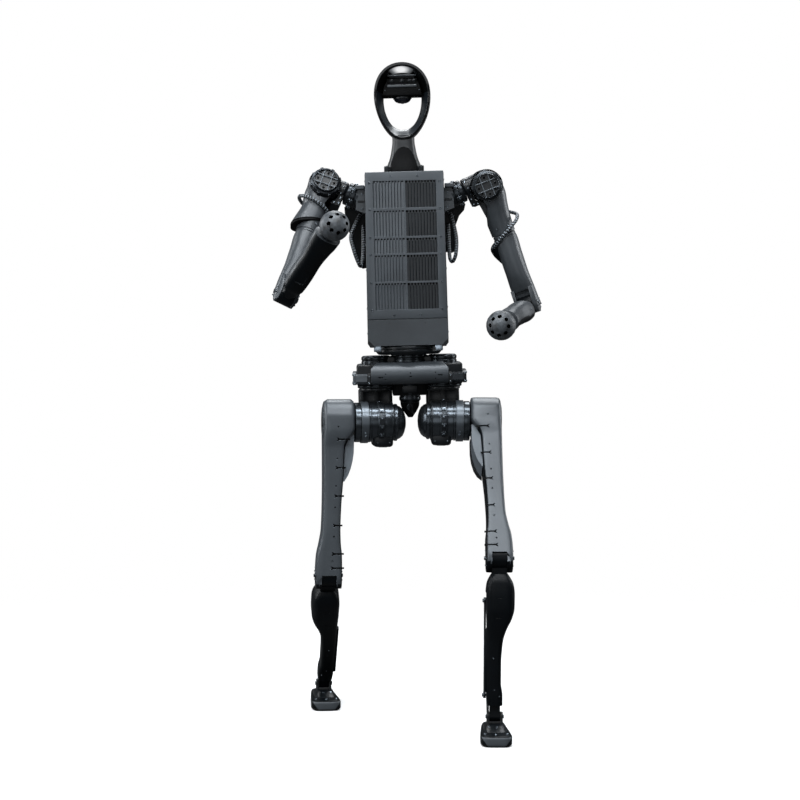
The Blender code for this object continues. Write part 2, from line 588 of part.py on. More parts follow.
# ------------------------------------------------------------------------ legs
# thigh sections: z, inner edge, outer edge, front half depth, back half depth
THIGH_ROWS = [(0.0610, -0.040, 0.021, 0.0100, 0.0100), (0.0590, -0.044, 0.027, 0.0200, 0.0200),
              (0.0520, -0.0465, 0.0310, 0.0330, 0.0330), (0.0370, -0.0480, 0.0330, 0.0450, 0.0450),
              (0.0150, -0.0480, 0.0335, 0.0540, 0.0540), (-0.0150, -0.0480, 0.0335, 0.0550, 0.0550),
              (-0.0330, -0.0400, 0.0335, 0.0530, 0.0530), (-0.0480, -0.0270, 0.0335, 0.0500, 0.0500),
              (-0.0620, -0.0225, 0.0335, 0.0470, 0.0480), (-0.1400, -0.0190, 0.0335, 0.0420, 0.0430),
              (-0.2200, -0.0130, 0.0345, 0.0390, 0.0400), (-0.2800, -0.0110, 0.0370, 0.0380, 0.0390),
              (-0.3150, -0.0120, 0.0430, 0.0370, 0.0360), (-0.3450, -0.0150, 0.0500, 0.0365, 0.0290),
              (-0.3700, -0.0155, 0.0525, 0.0360, 0.0230), (-0.3850, -0.0155, 0.0530, 0.0355, 0.0270),
              (-0.4000, -0.0155, 0.0532, 0.0350, 0.0340), (-0.4150, -0.0155, 0.0530, 0.0320, 0.0300),
              (-0.4270, -0.0155, 0.0528, 0.0240, 0.0230), (-0.4340, -0.0150, 0.0522, 0.0130, 0.0130)]
SPLIT = 0.010                # plane between the thigh shell and its back cover
TONGUE = (0.0000, 0.0375)    # shank tongue between the fork cheeks


def thigh_rings(s, grow=0.0):
    rings = []
    for z, xi, xo, hf, hb in THIGH_ROWS:
        pts = []
        cx, hx = (xi + xo) / 2, (xo - xi) / 2 + grow
        for i in range(16):
            t = 2 * pi * i / 16
            c, q = cos(t), sin(t)
            hy = hb if q > 0 else hf
            pts.append(Vector((s * (cx + hx * math.copysign(abs(c) ** 0.36, c)),
                               (hy + grow) * math.copysign(abs(q) ** 0.36, q), z)))
        rings.append(pts)
    return rings


SHANK_ROWS = [  # z, inner edge, outer edge, front half depth, back half depth
    (-0.0380, 0.0000, 0.0400, 0.0240, 0.0190), (-0.0480, -0.0060, 0.0470, 0.0320, 0.0250),
    (-0.0650, -0.0125, 0.0550, 0.0380, 0.0345), (-0.0900, -0.0145, 0.0580, 0.0400, 0.0440),
    (-0.1250, -0.0145, 0.0575, 0.0390, 0.0480), (-0.1500, -0.0140, 0.0515, 0.0360, 0.0470),
    (-0.1800, -0.0135, 0.0375, 0.0320, 0.0420), (-0.2100, -0.0135, 0.0290, 0.0290, 0.0370),
    (-0.2700, -0.0135, 0.0250, 0.0260, 0.0300), (-0.3150, -0.0135, 0.0250, 0.0240, 0.0260),
    (-0.3450, -0.0130, 0.0290, 0.0230, 0.0230), (-0.3700, -0.0110, 0.0290, 0.0215, 0.0200)]

for side, s in SIDES:
    ax = 'X' if s > 0 else '-X'
    hb = 'hip_' + side
    # hip bracket: yaw output disc over a block behind the pitch motor
    br = new_object("hip_bracket_" + side, box_mesh("hip_bracket", (-0.044, 0.0165, -0.030), (0.044, 0.0560, 0.086), 0.006, 1),
                    hb, 'black')
    boolean(br, guide(cyl_mesh("c", 0.0455, 0.0835, 0.0884, 'Z', 24), hb), 'UNION')
    boolean(br, guide(cyl_mesh("c", 0.0452, 0.0, 0.2, 'Y', 24, (0, 0.0560 - 0.022, 0)), hb))
    # hip roll motor: drum along Y, plugged into the bracket
    turned("hip_roll_motor_" + side,
           [(0, 0.118), (0.014, 0.118), (0.016, 0.115), (0.038, 0.115), (0.0430, 0.110), (0.0445, 0.106),
            (0.0445, 0.0343), (0, 0.0343)], 'Y', (0, 0, 0), hb, 'motor', 24)

    cb = 'hip_carrier_' + side
    # hip pitch motor: domed inner end, ribs, clamp band, drum out to the thigh
    prof = [(0, 0.0668), (0.0520, 0.0668), (0.0520, 0.0390), (0.0545, 0.0380), (0.0545, 0.0170),
            (0.0515, 0.0160), (0.0515, -0.0060), (0.0550, -0.0070), (0.0550, -0.0200), (0.0510, -0.0210),
            (0.0510, -0.0400), (0.0450, -0.0430), (0.0450, -0.0530), (0.0340, -0.0640), (0, -0.0700)]
    pm = turned("hip_pitch_motor_" + side, prof, ax, (0, 0, 0), cb, 'motor', 22)
    # roll hub behind the drum, and the lower cradle
    boolean(pm, guide(cyl_mesh("c", 0.0400, 0.0300, 0.0555, 'Y', 24), cb), 'UNION')
    boolean(pm, guide(box_mesh("c", (-0.034, -0.036, -0.063), (0.018, 0.036, -0.030), 0.010, 1) if s > 0 else
                      box_mesh("c", (-0.018, -0.036, -0.063), (0.034, 0.036, -0.030), 0.010, 1), cb), 'UNION')

    tb = 'thigh_' + side
    shell = new_object("thigh_shell_" + side, loft_mesh("thigh_shell", thigh_rings(s)), tb, 'casing')
    cover = new_object("thigh_back_cover_" + side, loft_mesh("thigh_back_cover", thigh_rings(s)), tb, 'panel')
    pocket = guide(cyl_mesh("c", 0.0455, -0.0420 if s > 0 else -0.0280, 0.0280 if s > 0 else 0.0420, 'X', 24), tb)
    boolean(shell, guide(box_mesh("c", (-0.2, SPLIT, -0.353), (0.2, 0.2, 0.2)), tb))
    boolean(shell, pocket)
    # fork: slot for the shank tongue and room for its knuckle
    lo, hi = sorted((s * (TONGUE[0] - 0.0005), s * (TONGUE[1] + 0.0005)))
    boolean(shell, guide(box_mesh("c", (lo, -0.1, -0.50), (hi, 0.1, -0.3985)), tb))
    boolean(shell, guide(cyl_mesh("c", 0.0335, lo, hi, 'X', 24, (0, 0, -THIGH)), tb))
    boolean(shell, guide(box_mesh("c", (lo, 0.0, -0.50), (hi, 0.1, -0.3600)), tb))
    boolean(cover, guide(box_mesh("c", (-0.2, -0.2, -0.50), (0.2, SPLIT + GAP, 0.2)), tb))
    boolean(cover, guide(box_mesh("c", (-0.2, -0.2, -0.50), (0.2, 0.2, -0.353 + GAP)), tb))
    boolean(cover, pocket)
    # knee motor in the round top of the thigh
    turned("knee_motor_" + side, [(0, 0.0275), (0.040, 0.0275), (0.0445, 0.0240), (0.0445, -0.0380), (0.0400, -0.0415),
                                  (0, -0.0415)], ax, (0, 0, 0), tb, 'motor', 24)
    # crescent pad on the inner face below the hip motor
    pad = []
    for i in range(11):
        t = pi * i / 10
        pad.append((-0.0232 - 0.0215 * sin(t) ** 0.8, -0.082 + 0.054 * cos(t)))
    pm_ = new_object("thigh_pad_" + side, plate_mesh("thigh_pad", [(s * u, v) for u, v in pad], 0.060, 'Y', 0.0), tb, 'pad')
    boolean(pm_, guide(loft_mesh("c", thigh_rings(s, 0.0006)), tb))
    boolean(pm_, guide(cyl_mesh("c", 0.0580, -0.2, 0.2, 'X', 28), tb))

    kb = 'shank_' + side
    rings = []
    for z, xi, xo, hf, hbk in SHANK_ROWS:
        pts = []
        cx, hx = (xi + xo) / 2, (xo - xi) / 2
        for i in range(16):
            t = 2 * pi * i / 16
            c, q = cos(t), sin(t)
            hy = hbk if q > 0 else hf
            pts.append(Vector((s * (cx + hx * math.copysign(abs(c) ** 0.5, c)), hy * math.copysign(abs(q) ** 0.5, q), z)))
        rings.append(pts)
    shank = new_object("shank_shell_" + side, loft_mesh("shank_shell", rings), kb, 'black')
    lo, hi = sorted((s * TONGUE[0], s * TONGUE[1]))
    boolean(shank, guide(cyl_mesh("c", 0.0300, lo, hi, 'X', 24), kb), 'UNION')
    boolean(shank, guide(box_mesh("c", (lo, -0.0200, -0.060), (hi, 0.0180, -0.005)), kb), 'UNION')
    # inner face stepped in for the drive rod, with a deeper pocket for its crank
    lo, hi = sorted((s * -0.030, s * -0.0106))
    boolean(shank, guide(box_mesh("c", (lo, -0.0060, -0.420), (hi, 0.080, -0.086)), kb))
    lo, hi = sorted((s * -0.030, s * -0.0033))
    boolean(shank, guide(box_mesh("c", (lo, -0.0160, -0.178), (hi, 0.080, -0.0865)), kb))
    lo, hi = sorted((s * -0.030, s * -0.0036))
    boolean(shank, guide(box_mesh("c", (lo, -0.0150, -0.425), (hi, 0.080, -0.3270)), kb))
    # ankle tongue
    lo, hi = sorted((s * (ANKLE_X - 0.0130), s * (ANKLE_X + 0.0130)))
    boolean(shank, guide(box_mesh("c", (lo, -0.0120, -SHANK), (hi, 0.0120, -0.360)), kb), 'UNION')
    boolean(shank, guide(cyl_mesh("c", 0.0125, lo, hi, 'X', 24, (0, 0, -SHANK)), kb), 'UNION')

    # ankle drive: crank on the calf, rod, and the lever on the foot
    L = math.hypot(*CRANK)
    ang = math.degrees(math.atan2(CRANK[0], CRANK[1]))
    x0, x1 = -0.0105, -0.0042

    def lever(r0, r1, length):
        out = []
        for i in range(11):
            t = pi + pi * i / 10
            out.append((r0 * cos(t), r0 * sin(t)))
        for i in range(9):
            t = pi * i / 8
            out.append((r1 * cos(t), length + r1 * sin(t)))
        return out

    arm_m = R('X', -ang)
    me = plate_mesh("ankle_crank", lever(0.0130, 0.0085, L), x1 - x0, 'X', s * (x0 + x1) / 2)
    new_object("ankle_crank_" + side, me, 'crank_' + side, 'steel', arm_m)
    rod_len = -SHANK - CRANK_Z
    rx0, rx1 = -0.0178, -0.0112
    rod = new_object("ankle_rod_" + side, cyl_mesh("ankle_rod", 0.0085, *sorted((s * rx0, s * rx1)), 'X', 14),
                     'rod_' + side, 'motor')
    boolean(rod, guide(box_mesh("c", (min(s * rx0, s * rx1) + 0.0002, -0.0045, rod_len), (max(s * rx0, s * rx1) - 0.0002, 0.0045, 0.0), 0.0),
                       'rod_' + side), 'UNION')
    boolean(rod, guide(cyl_mesh("c", 0.0085, *sorted((s * rx0, s * rx1)), 'X', 14, (0, 0, rod_len)), 'rod_' + side),
            'UNION')

    fb = 'foot_' + side
    # ankle clevis: pyramid block, two cheeks, and the drive lever inboard
    rings = [ring(ANKLE_X, -0.004, -0.0285, 0.0290, 0.0560, 5, 16, s), ring(ANKLE_X, -0.003, -0.0240, 0.0275, 0.0460, 5, 16, s),
             ring(ANKLE_X, -0.001, -0.0170, 0.0215, 0.0260, 5, 16, s)]
    cl = new_object("ankle_clevis_" + side, loft_mesh("ankle_clevis", rings), fb, 'black')
    for x in (-1, 1):
        lo, hi = sorted((s * (ANKLE_X + x * 0.0138), s * (ANKLE_X + x * 0.0203)))
        cheek = [(0.0125 * cos(pi * i / 8), 0.0125 * sin(pi * i / 8)) for i in range(9)]
        cheek += [(-0.0155, -0.0210), (0.0155, -0.0210)]
        boolean(cl, guide(plate_mesh("c", cheek, hi - lo, 'X', (lo + hi) / 2), fb), 'UNION')
    lo, hi = sorted((s * -0.0101, s * -0.0044))
    boolean(cl, guide(plate_mesh("c", lever(0.0110, 0.0085, L), hi - lo, 'X', (lo + hi) / 2), fb, arm_m), 'UNION')
    # foot: plate with rounded plan, and the toe face sloping in
    n = 24
    rings = []
    for z, hx, hy in ((-SOLE, 0.0360, 0.0900), (-SOLE + 0.0050, 0.0410, 0.0950), (-SOLE + 0.0170, 0.0415, 0.0950),
                      (-SOLE + 0.0225, 0.0370, 0.0900), (-0.0288, 0.0290, 0.0800)):
        rings.append(ring(ANKLE_X, -0.010, z, hx, hy, 5.5, n, s))
    new_object("foot_sole_" + side, loft_mesh("foot_sole", rings), fb, 'rubber')

# --------------------------------------------------------------------- cables
for side, s in SIDES:
    # service loop from the shoulder down beside the torso
    loop = smooth_path([(s * 0.1180, 0.020, 0.372), (s * 0.1270, 0.012, 0.340), (s * 0.1330, -0.004, 0.300),
                        (s * 0.1300, -0.014, 0.262), (s * 0.1220, -0.006, 0.244), (s * 0.1150, 0.010, 0.252),
                        (s * 0.1130, 0.026, 0.290), (s * 0.1125, 0.040, 0.345)], 17)
    tube("shoulder_cable_" + side, loop, 0.0052, 'torso', 'cable', 2)
    # spiral-wrapped cable round the upper arm, over the yaw joint
    pts = []
    for i in range(21):
        k = i / 20
        t = radians(150 - 290 * k)
        r = 0.0395 + 0.004 * sin(pi * k)
        pts.append((s * r * cos(t), -r * sin(t) * 1.08 + 0.001, -0.066 - 0.058 * k))
    tube("arm_cable_" + side, pts, 0.0045, 'upper_arm_' + side, 'cable', 2)

# ------------------------------------------- origin: middle of the base, sole 0
bpy.context.view_layer.update()
dg = bpy.context.evaluated_depsgraph_get()
low = Vector((1e9, 1e9, 1e9))
high = -low
for o in model.objects:
    if o.type == 'EMPTY':
        continue
    ev = o.evaluated_get(dg)
    me = ev.to_mesh()
    mw = o.matrix_world
    for v in me.vertices:
        p = mw @ v.co
        low = Vector(map(min, low, p))
        high = Vector(map(max, high, p))
    ev.to_mesh_clear()
ROOT.location = (-(low.x + high.x) / 2, -(low.y + high.y) / 2, -low.z)
bpy.context.view_layer.update()
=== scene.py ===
import bpy
import bmesh
import math
import json
from math import sin, cos, pi, radians
from mathutils import Matrix, Vector


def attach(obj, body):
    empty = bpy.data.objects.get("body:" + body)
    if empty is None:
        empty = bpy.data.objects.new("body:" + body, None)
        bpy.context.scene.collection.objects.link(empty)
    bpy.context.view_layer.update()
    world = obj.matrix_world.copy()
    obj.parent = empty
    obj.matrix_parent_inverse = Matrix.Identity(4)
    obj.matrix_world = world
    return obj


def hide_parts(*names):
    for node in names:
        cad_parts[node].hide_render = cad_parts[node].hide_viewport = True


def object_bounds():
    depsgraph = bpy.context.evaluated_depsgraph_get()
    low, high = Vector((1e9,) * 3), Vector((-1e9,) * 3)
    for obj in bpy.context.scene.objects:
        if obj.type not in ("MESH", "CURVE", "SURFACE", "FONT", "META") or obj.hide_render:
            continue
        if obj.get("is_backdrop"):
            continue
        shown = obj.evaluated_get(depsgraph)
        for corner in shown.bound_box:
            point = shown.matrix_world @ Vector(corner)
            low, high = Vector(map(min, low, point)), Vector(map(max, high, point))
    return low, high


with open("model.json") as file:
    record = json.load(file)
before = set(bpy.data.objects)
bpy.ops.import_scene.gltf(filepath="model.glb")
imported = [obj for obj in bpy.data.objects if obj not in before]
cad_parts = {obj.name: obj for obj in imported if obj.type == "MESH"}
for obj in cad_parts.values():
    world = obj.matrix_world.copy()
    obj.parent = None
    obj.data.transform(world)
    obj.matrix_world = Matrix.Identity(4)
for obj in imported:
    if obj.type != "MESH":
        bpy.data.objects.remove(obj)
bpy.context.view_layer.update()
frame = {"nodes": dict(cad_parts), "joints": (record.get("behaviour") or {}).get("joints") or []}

# ------------------------------------------------------------ the robot's frames
HIP_YAW_X, HIP_YAW_Z, HIP_ROLL_Y, HIP_PITCH_X = 0.0875, -0.1742, -0.0395, 0.11536
THIGH = SHANK = 0.400
SOLE, ANKLE_X = 0.0565, 0.010
SHOULDER = (0.15535, -0.0055, 0.430)
TILT = 25.0
ROLL_OFF = (0.0565, 0.0055, -0.0165)
ARM_YAW_Z = -0.1343
ELBOW_OFF = (0.0, -0.0185, -0.198)
BALL_OFF = (0.0, -0.2605, -0.0185)
BALL_R = 0.0380
TORSO_TOP, TORSO_BOTTOM = 0.478, 0.034
HALF_TOP, HALF_BOTTOM = 0.1025, 0.1055
FRONT, BACK, SEAM = -0.085, 0.088, 0.0955
CRANK, CRANK_Z = (0.034, 0.048), -0.160
PELVIS_X, PELVIS_YAW, PELVIS_ROLL, WAIST_YAW = 0.0045, 0.7, 1.84, -1.5
LEG = {'left': dict(yaw=0.0, pitch=-33.4, knee=31.1), 'right': dict(yaw=6.4, pitch=-3.2, knee=38.2)}
ARM = {'left': dict(pitch=3.3, roll=19.5, yaw=-21.2, elbow=-3.1),
       'right': dict(pitch=-26.4, roll=-20.6, yaw=15.3, elbow=-31.1)}
SIDES = (('left', 1), ('right', -1))
I4 = Matrix.Identity(4)


def T(x, y, z):
    return Matrix.Translation((x, y, z))


def R(axis, deg):
    return Matrix.Rotation(radians(deg), 4, axis)


PELVIS = R('Z', PELVIS_YAW) @ R('Y', -PELVIS_ROLL)


def leg_chain(s, yaw, roll, pitch, knee, ankle):
    return [T(s * HIP_YAW_X, 0, HIP_YAW_Z) @ R('Z', yaw), T(0, HIP_ROLL_Y, 0) @ R('Y', -roll),
            T(s * HIP_PITCH_X, 0, 0) @ R('X', pitch), T(0, 0, -THIGH) @ R('X', knee), T(0, 0, -SHANK) @ R('X', ankle)]


def flat_foot(s, a):
    v = (PELVIS @ R('Z', a['yaw'])).transposed() @ Vector((0, 0, 1))
    return (-math.degrees(math.atan2(v.x, v.z)),
            -math.degrees(math.asin(v.y)) - a['pitch'] - a['knee'])


def sole_height(s, a):
    roll, ankle = flat_foot(s, a)
    m = PELVIS.copy()
    for step in leg_chain(s, a['yaw'], roll, a['pitch'], a['knee'], ankle):
        m = m @ step
    return (m @ Vector((s * ANKLE_X, 0, -SOLE))).z


_lo, _hi = -45.0, -20.0
_target = sole_height(-1, LEG['right'])
for _i in range(50):
    _mid = (_lo + _hi) / 2
    LEG['left']['pitch'] = _mid
    LEG['left']['knee'] = 31.1 - 33.4 - _mid
    if sole_height(1, LEG['left']) < _target:
        _hi = _mid
    else:
        _lo = _mid
PELVIS_HEIGHT = -_target
WAIST = Vector(next(j for j in frame["joints"] if j["child"] == "torso")["pos_m"])
ROOT = WAIST - Vector((PELVIS_X, 0, PELVIS_HEIGHT))
B = {'pelvis': T(*ROOT) @ T(PELVIS_X, 0, PELVIS_HEIGHT) @ PELVIS}
B['torso'] = B['pelvis'] @ R('Z', WAIST_YAW)
for side, s in SIDES:
    a = LEG[side]
    a['roll'], a['ankle'] = flat_foot(s, a)
    m = B['pelvis']
    for part, step in zip(('hip', 'hip_carrier', 'thigh', 'shank', 'foot'),
                          leg_chain(s, a['yaw'], a['roll'], a['pitch'], a['knee'], a['ankle'])):
        m = m @ step
        B[part + '_' + side] = m
    B['crank_' + side] = B['shank_' + side] @ T(0, 0, CRANK_Z) @ R('X', a['ankle'])
    B['rod_' + side] = B['crank_' + side] @ T(0, CRANK[0], CRANK[1]) @ R('X', -a['ankle'])
    b = ARM[side]
    m = B['torso']
    for part, step in (
            ('shoulder', T(s * SHOULDER[0], SHOULDER[1], SHOULDER[2]) @ R('Y', -s * TILT) @ R('X', b['pitch'])),
            ('upper_arm', T(s * ROLL_OFF[0], ROLL_OFF[1], ROLL_OFF[2]) @ R('Y', s * TILT) @ R('Y', -b['roll'])),
            ('lower_arm', T(0, 0, ARM_YAW_Z) @ R('Z', b['yaw'])),
            ('forearm', T(*ELBOW_OFF) @ R('X', b['elbow']))):
        m = m @ step
        B[part + '_' + side] = m

# --------------------------------------------------------------------- materials
def nodes_of(name):
    m = bpy.data.materials.new(name)
    m.use_nodes = True
    nt = m.node_tree
    return m, nt, nt.nodes["Principled BSDF"]


def surface(name, dark, light, rough, metal=0.0, grain=900.0, bump=0.12, spread=0.06, wear=None, wear_amount=0.5,
            coat=0.0, coat_rough=0.1, stretch=None, round_edge=0.0007, spec=0.5, cell=False, sheen=0.0, mottle=9.0):
    """Procedural finish: slow mottling of the colour, a fine grain in bump and
    roughness, edges softened and rubbed lighter."""
    m, nt, b = nodes_of(name)
    N, L = nt.nodes.new, nt.links.new
    tc = N('ShaderNodeTexCoord')
    mp = N('ShaderNodeMapping')
    mp.inputs['Scale'].default_value = stretch or (1, 1, 1)
    L(tc.outputs['Object'], mp.inputs['Vector'])
    slow = N('ShaderNodeTexNoise')
    slow.inputs['Scale'].default_value = mottle
    slow.inputs['Detail'].default_value = 5
    slow.inputs['Roughness'].default_value = 0.6
    L(tc.outputs['Object'], slow.inputs['Vector'])
    ramp = N('ShaderNodeValToRGB')
    ramp.color_ramp.elements[0].position = 0.32
    ramp.color_ramp.elements[1].position = 0.68
    ramp.color_ramp.elements[0].color = (*dark, 1)
    ramp.color_ramp.elements[1].color = (*light, 1)
    L(slow.outputs['Fac'], ramp.inputs['Fac'])
    if cell:
        fine = N('ShaderNodeTexVoronoi')
        fine.inputs['Scale'].default_value = grain
        L(mp.outputs['Vector'], fine.inputs['Vector'])
        fine_out = fine.outputs['Distance']
    else:
        fine = N('ShaderNodeTexNoise')
        fine.inputs['Scale'].default_value = grain
        fine.inputs['Detail'].default_value = 3
        L(mp.outputs['Vector'], fine.inputs['Vector'])
        fine_out = fine.outputs['Fac']
    rr = N('ShaderNodeMapRange')
    rr.inputs['From Min'].default_value = 0.3
    rr.inputs['From Max'].default_value = 0.7
    rr.inputs['To Min'].default_value = max(0.02, rough - spread)
    rr.inputs['To Max'].default_value = rough + spread
    L(fine_out, rr.inputs['Value'])
    L(rr.outputs['Result'], b.inputs['Roughness'])
    colour = ramp.outputs['Color']
    bev = N('ShaderNodeBevel')
    bev.samples = 4
    bev.inputs['Radius'].default_value = round_edge
    if wear:
        big = N('ShaderNodeBevel')
        big.samples = 4
        big.inputs['Radius'].default_value = 0.0016
        geo = N('ShaderNodeNewGeometry')
        dot = N('ShaderNodeVectorMath')
        dot.operation = 'DOT_PRODUCT'
        L(big.outputs['Normal'], dot.inputs[0])
        L(geo.outputs['Normal'], dot.inputs[1])
        edge = N('ShaderNodeMapRange')
        edge.inputs['From Min'].default_value = 0.985
        edge.inputs['From Max'].default_value = 0.85
        edge.inputs['To Min'].default_value = 0.0
        edge.inputs['To Max'].default_value = wear_amount
        L(dot.outputs['Value'], edge.inputs['Value'])
        patch = N('ShaderNodeTexNoise')
        patch.inputs['Scale'].default_value = 70
        patch.inputs['Detail'].default_value = 4
        L(tc.outputs['Object'], patch.inputs['Vector'])
        mul = N('ShaderNodeMath')
        mul.operation = 'MULTIPLY'
        L(edge.outputs['Result'], mul.inputs[0])
        L(patch.outputs['Fac'], mul.inputs[1])
        mix = N('ShaderNodeMix')
        mix.data_type = 'RGBA'
        L(mul.outputs['Value'], mix.inputs['Factor'])
        L(colour, mix.inputs['A'])
        mix.inputs['B'].default_value = (*wear, 1)
        colour = mix.outputs['Result']
    L(colour, b.inputs['Base Color'])
    bp = N('ShaderNodeBump')
    bp.inputs['Strength'].default_value = bump
    bp.inputs['Distance'].default_value = 0.0004
    L(fine_out, bp.inputs['Height'])
    if round_edge:
        L(bev.outputs['Normal'], bp.inputs['Normal'])
    else:
        nt.nodes.remove(bev)
    if bump or round_edge:
        L(bp.outputs['Normal'], b.inputs['Normal'])
    else:
        nt.nodes.remove(bp)
    b.inputs['Metallic'].default_value = metal
    b.inputs['Specular IOR Level'].default_value = spec
    if coat:
        b.inputs['Coat Weight'].default_value = coat
        b.inputs['Coat Roughness'].default_value = coat_rough
    if sheen:
        b.inputs['Sheen Weight'].default_value = sheen
    return m


def g(v, c=0.14):
    """Cool grey of value v, slightly blue."""
    return (v * (1 - c), v, v * (1 + c))


MAT = {
    'casing': surface('casing_paint', g(0.023), g(0.034), 0.42, 0.20, 700, 0.025, 0.04, None, 0.5, spec=0.38),
    'casing_light': surface('thigh_paint', g(0.040), g(0.052), 0.40, 0.28, 700, 0.03, 0.04, g(0.30), 0.6, spec=0.4),
    'panel': surface('panel_paint', g(0.036), g(0.047), 0.44, 0.20, 800, 0.04, 0.05, g(0.18), 0.5, spec=0.4),
    'panel_dark': surface('panel_dark_paint', g(0.0060), g(0.0095), 0.46, 0.10, 1300, 0.08, 0.06, g(0.08), 0.5, spec=0.35),
    'black': surface('black_moulding', g(0.0018, 0.35), g(0.0036, 0.35), 0.36, 0.0, 800, 0.05, 0.06, g(0.03), 0.5, cell=True, spec=0.20),
    'shank': surface('shank_coating', g(0.0010, 0.45), g(0.0022, 0.45), 0.40, 0.0, 700, 0.04, 0.05, g(0.02), 0.5, spec=0.09),
    'gloss': surface('polished_black', g(0.0014), g(0.0024), 0.17, 0.0, 12, 0.0, 0.01, None, round_edge=0, spec=0.45),
    'motor': surface('motor_anodised', g(0.040), g(0.058), 0.24, 0.9, 120, 0.004, 0.015, g(0.22), 0.4, stretch=(6, 1, 1)),
    'motor_dark': surface('motor_dark', g(0.014), g(0.024), 0.28, 0.8, 120, 0.004, 0.02, g(0.14), 0.4, stretch=(6, 1, 1), spec=0.35),
    'band': surface('clamp_band', g(0.060), g(0.080), 0.34, 0.7, 700, 0.03, 0.04, g(0.2), 0.5),
    'pad': surface('pad_softtouch', g(0.075), g(0.095), 0.55, 0.0, 1500, 0.10, 0.06, g(0.2), 0.4, spec=0.35),
    'toe': surface('toe_plate', g(0.036), g(0.048), 0.46, 0.0, 1500, 0.10, 0.06, g(0.12), 0.4, spec=0.35),
    # darker copy of the panel paint: painted shade for the louvre column turned away from the key lamp
    'louvre': surface('louvre_painted_shade', g(0.011), g(0.016), 0.44, 0.15, 800, 0.04, 0.05, g(0.10), 0.5, spec=0.38),
    'neck': surface('neck_paint', g(0.0040), g(0.0070), 0.42, 0.15, 700, 0.03, 0.04, None, 0.5, spec=0.35),
    'rubber': surface('sole_rubber', (0.004, 0.004, 0.0045), (0.007, 0.007, 0.0075), 0.70, 0.0, 650, 0.4, 0.08, None, cell=True, spec=0.25),
    'steel': surface('machined_steel', (0.20, 0.205, 0.21), (0.30, 0.305, 0.31), 0.30, 1.0, 900, 0.06, 0.08, None, stretch=(1, 9, 1)),
    'bolt': surface('bolt_black_oxide', g(0.016), g(0.028), 0.30, 0.8, 1200, 0.08, 0.08, g(0.3), 0.9),
    'bolt_bright': surface('bolt_zinc', g(0.22), g(0.32), 0.26, 1.0, 1200, 0.06, 0.08, None),
    'lens': surface('lens_coating', (0.0015, 0.0015, 0.003), (0.003, 0.004, 0.007), 0.16, 0.0, 12, 0.0, 0.01, None, round_edge=0, spec=0.45),
    # near-black backing, also put into holes and recesses as painted shade
    'void': surface('backing_and_recess_shade', g(0.0008), g(0.0016), 0.6, 0.0, 1400, 0.3, 0.1, None, cell=True, spec=0.06),
    'cable': surface('cable_sheath', g(0.0035), g(0.0060), 0.45, 0.0, 1500, 0.15, 0.1, None, spec=0.3),
    'wrap': surface('cable_wrap', g(0.11), g(0.19), 0.45, 0.0, 1500, 0.15, 0.1, None, spec=0.35),
    'strip': surface('sensor_strip', g(0.022), g(0.034), 0.35, 0.2, 1100, 0.08, 0.08, g(0.2), 0.5),
    'bevel': surface('ring_bevel', g(0.0055, 0.3), g(0.0085, 0.3), 0.34, 0.1, 12, 0.0, 0.01, None, round_edge=0, spec=0.35),
    'battery': surface('battery_wrap', (0.03, 0.035, 0.05), (0.045, 0.05, 0.07), 0.5, 0.0, 500, 0.2, 0.08, None),
    'board': surface('computer_case', (0.02, 0.06, 0.04), (0.03, 0.09, 0.06), 0.5, 0.2, 500, 0.2, 0.08, None),
}
BALL_MAT = surface('ball_coating', g(0.008), g(0.056), 0.50, 0.2, 420, 0.22, 0.08, g(0.16), 0.5, mottle=60.0)
# painted highlight: an emissive patch on the brow stands in for a lamp's reflection on the gloss ring, fading out
# towards its ends
BROW_HIGHLIGHT_MAT = surface('brow_painted_highlight', g(0.002), g(0.004), 0.14, 0.0, 900, 0.0, 0.03, None, round_edge=0)
nt = BROW_HIGHLIGHT_MAT.node_tree
tc = nt.nodes.new('ShaderNodeTexCoord')
mp = nt.nodes.new('ShaderNodeMapping')
mp.inputs['Scale'].default_value = (1 / 0.034, 0.0, 1 / 0.0145)
brow = B['torso'] @ Vector((-0.003, 0.0, 0.7430))
mp.inputs['Location'].default_value = (-brow.x / 0.034, 0.0, -brow.z / 0.0145)
gd = nt.nodes.new('ShaderNodeTexGradient')
gd.gradient_type = 'SPHERICAL'
rp = nt.nodes.new('ShaderNodeValToRGB')
rp.color_ramp.elements[0].color = (0, 0, 0, 1)
rp.color_ramp.elements[1].color = (0.85, 0.86, 0.87, 1)
rp.color_ramp.elements[1].position = 0.72
nw = rp.color_ramp.elements.new(0.30)
nw.color = (0.16, 0.17, 0.18, 1)
nt.links.new(tc.outputs['Object'], mp.inputs['Vector'])
nt.links.new(mp.outputs['Vector'], gd.inputs['Vector'])
nt.links.new(gd.outputs['Fac'], rp.inputs['Fac'])
nt.links.new(rp.outputs['Color'], nt.nodes["Principled BSDF"].inputs['Emission Color'])
nt.nodes["Principled BSDF"].inputs['Emission Strength'].default_value = 1.0
MAT['ball'], MAT['glow'] = BALL_MAT, BROW_HIGHLIGHT_MAT


# -------------------------------------------------------------------- mesh tools
def to_mesh(bm, name="m", fix=True):
    if fix:
        bmesh.ops.recalc_face_normals(bm, faces=bm.faces)
    me = bpy.data.meshes.new(name)
    bm.to_mesh(me)
    bm.free()
    return me


def bevel_sharp(bm, width, seg=2, angle=32):
    es = [e for e in bm.edges if len(e.link_faces) == 2 and e.calc_face_angle(0) > radians(angle)]
    if es and width:
        bmesh.ops.bevel(bm, geom=es, offset=width, segments=seg, profile=0.5, affect='EDGES', clamp_overlap=True)


def rounded(me, width, seg=2, angle=32):
    bm = bmesh.new()
    bm.from_mesh(me)
    bevel_sharp(bm, width, seg, angle)
    return to_mesh(bm, fix=False)


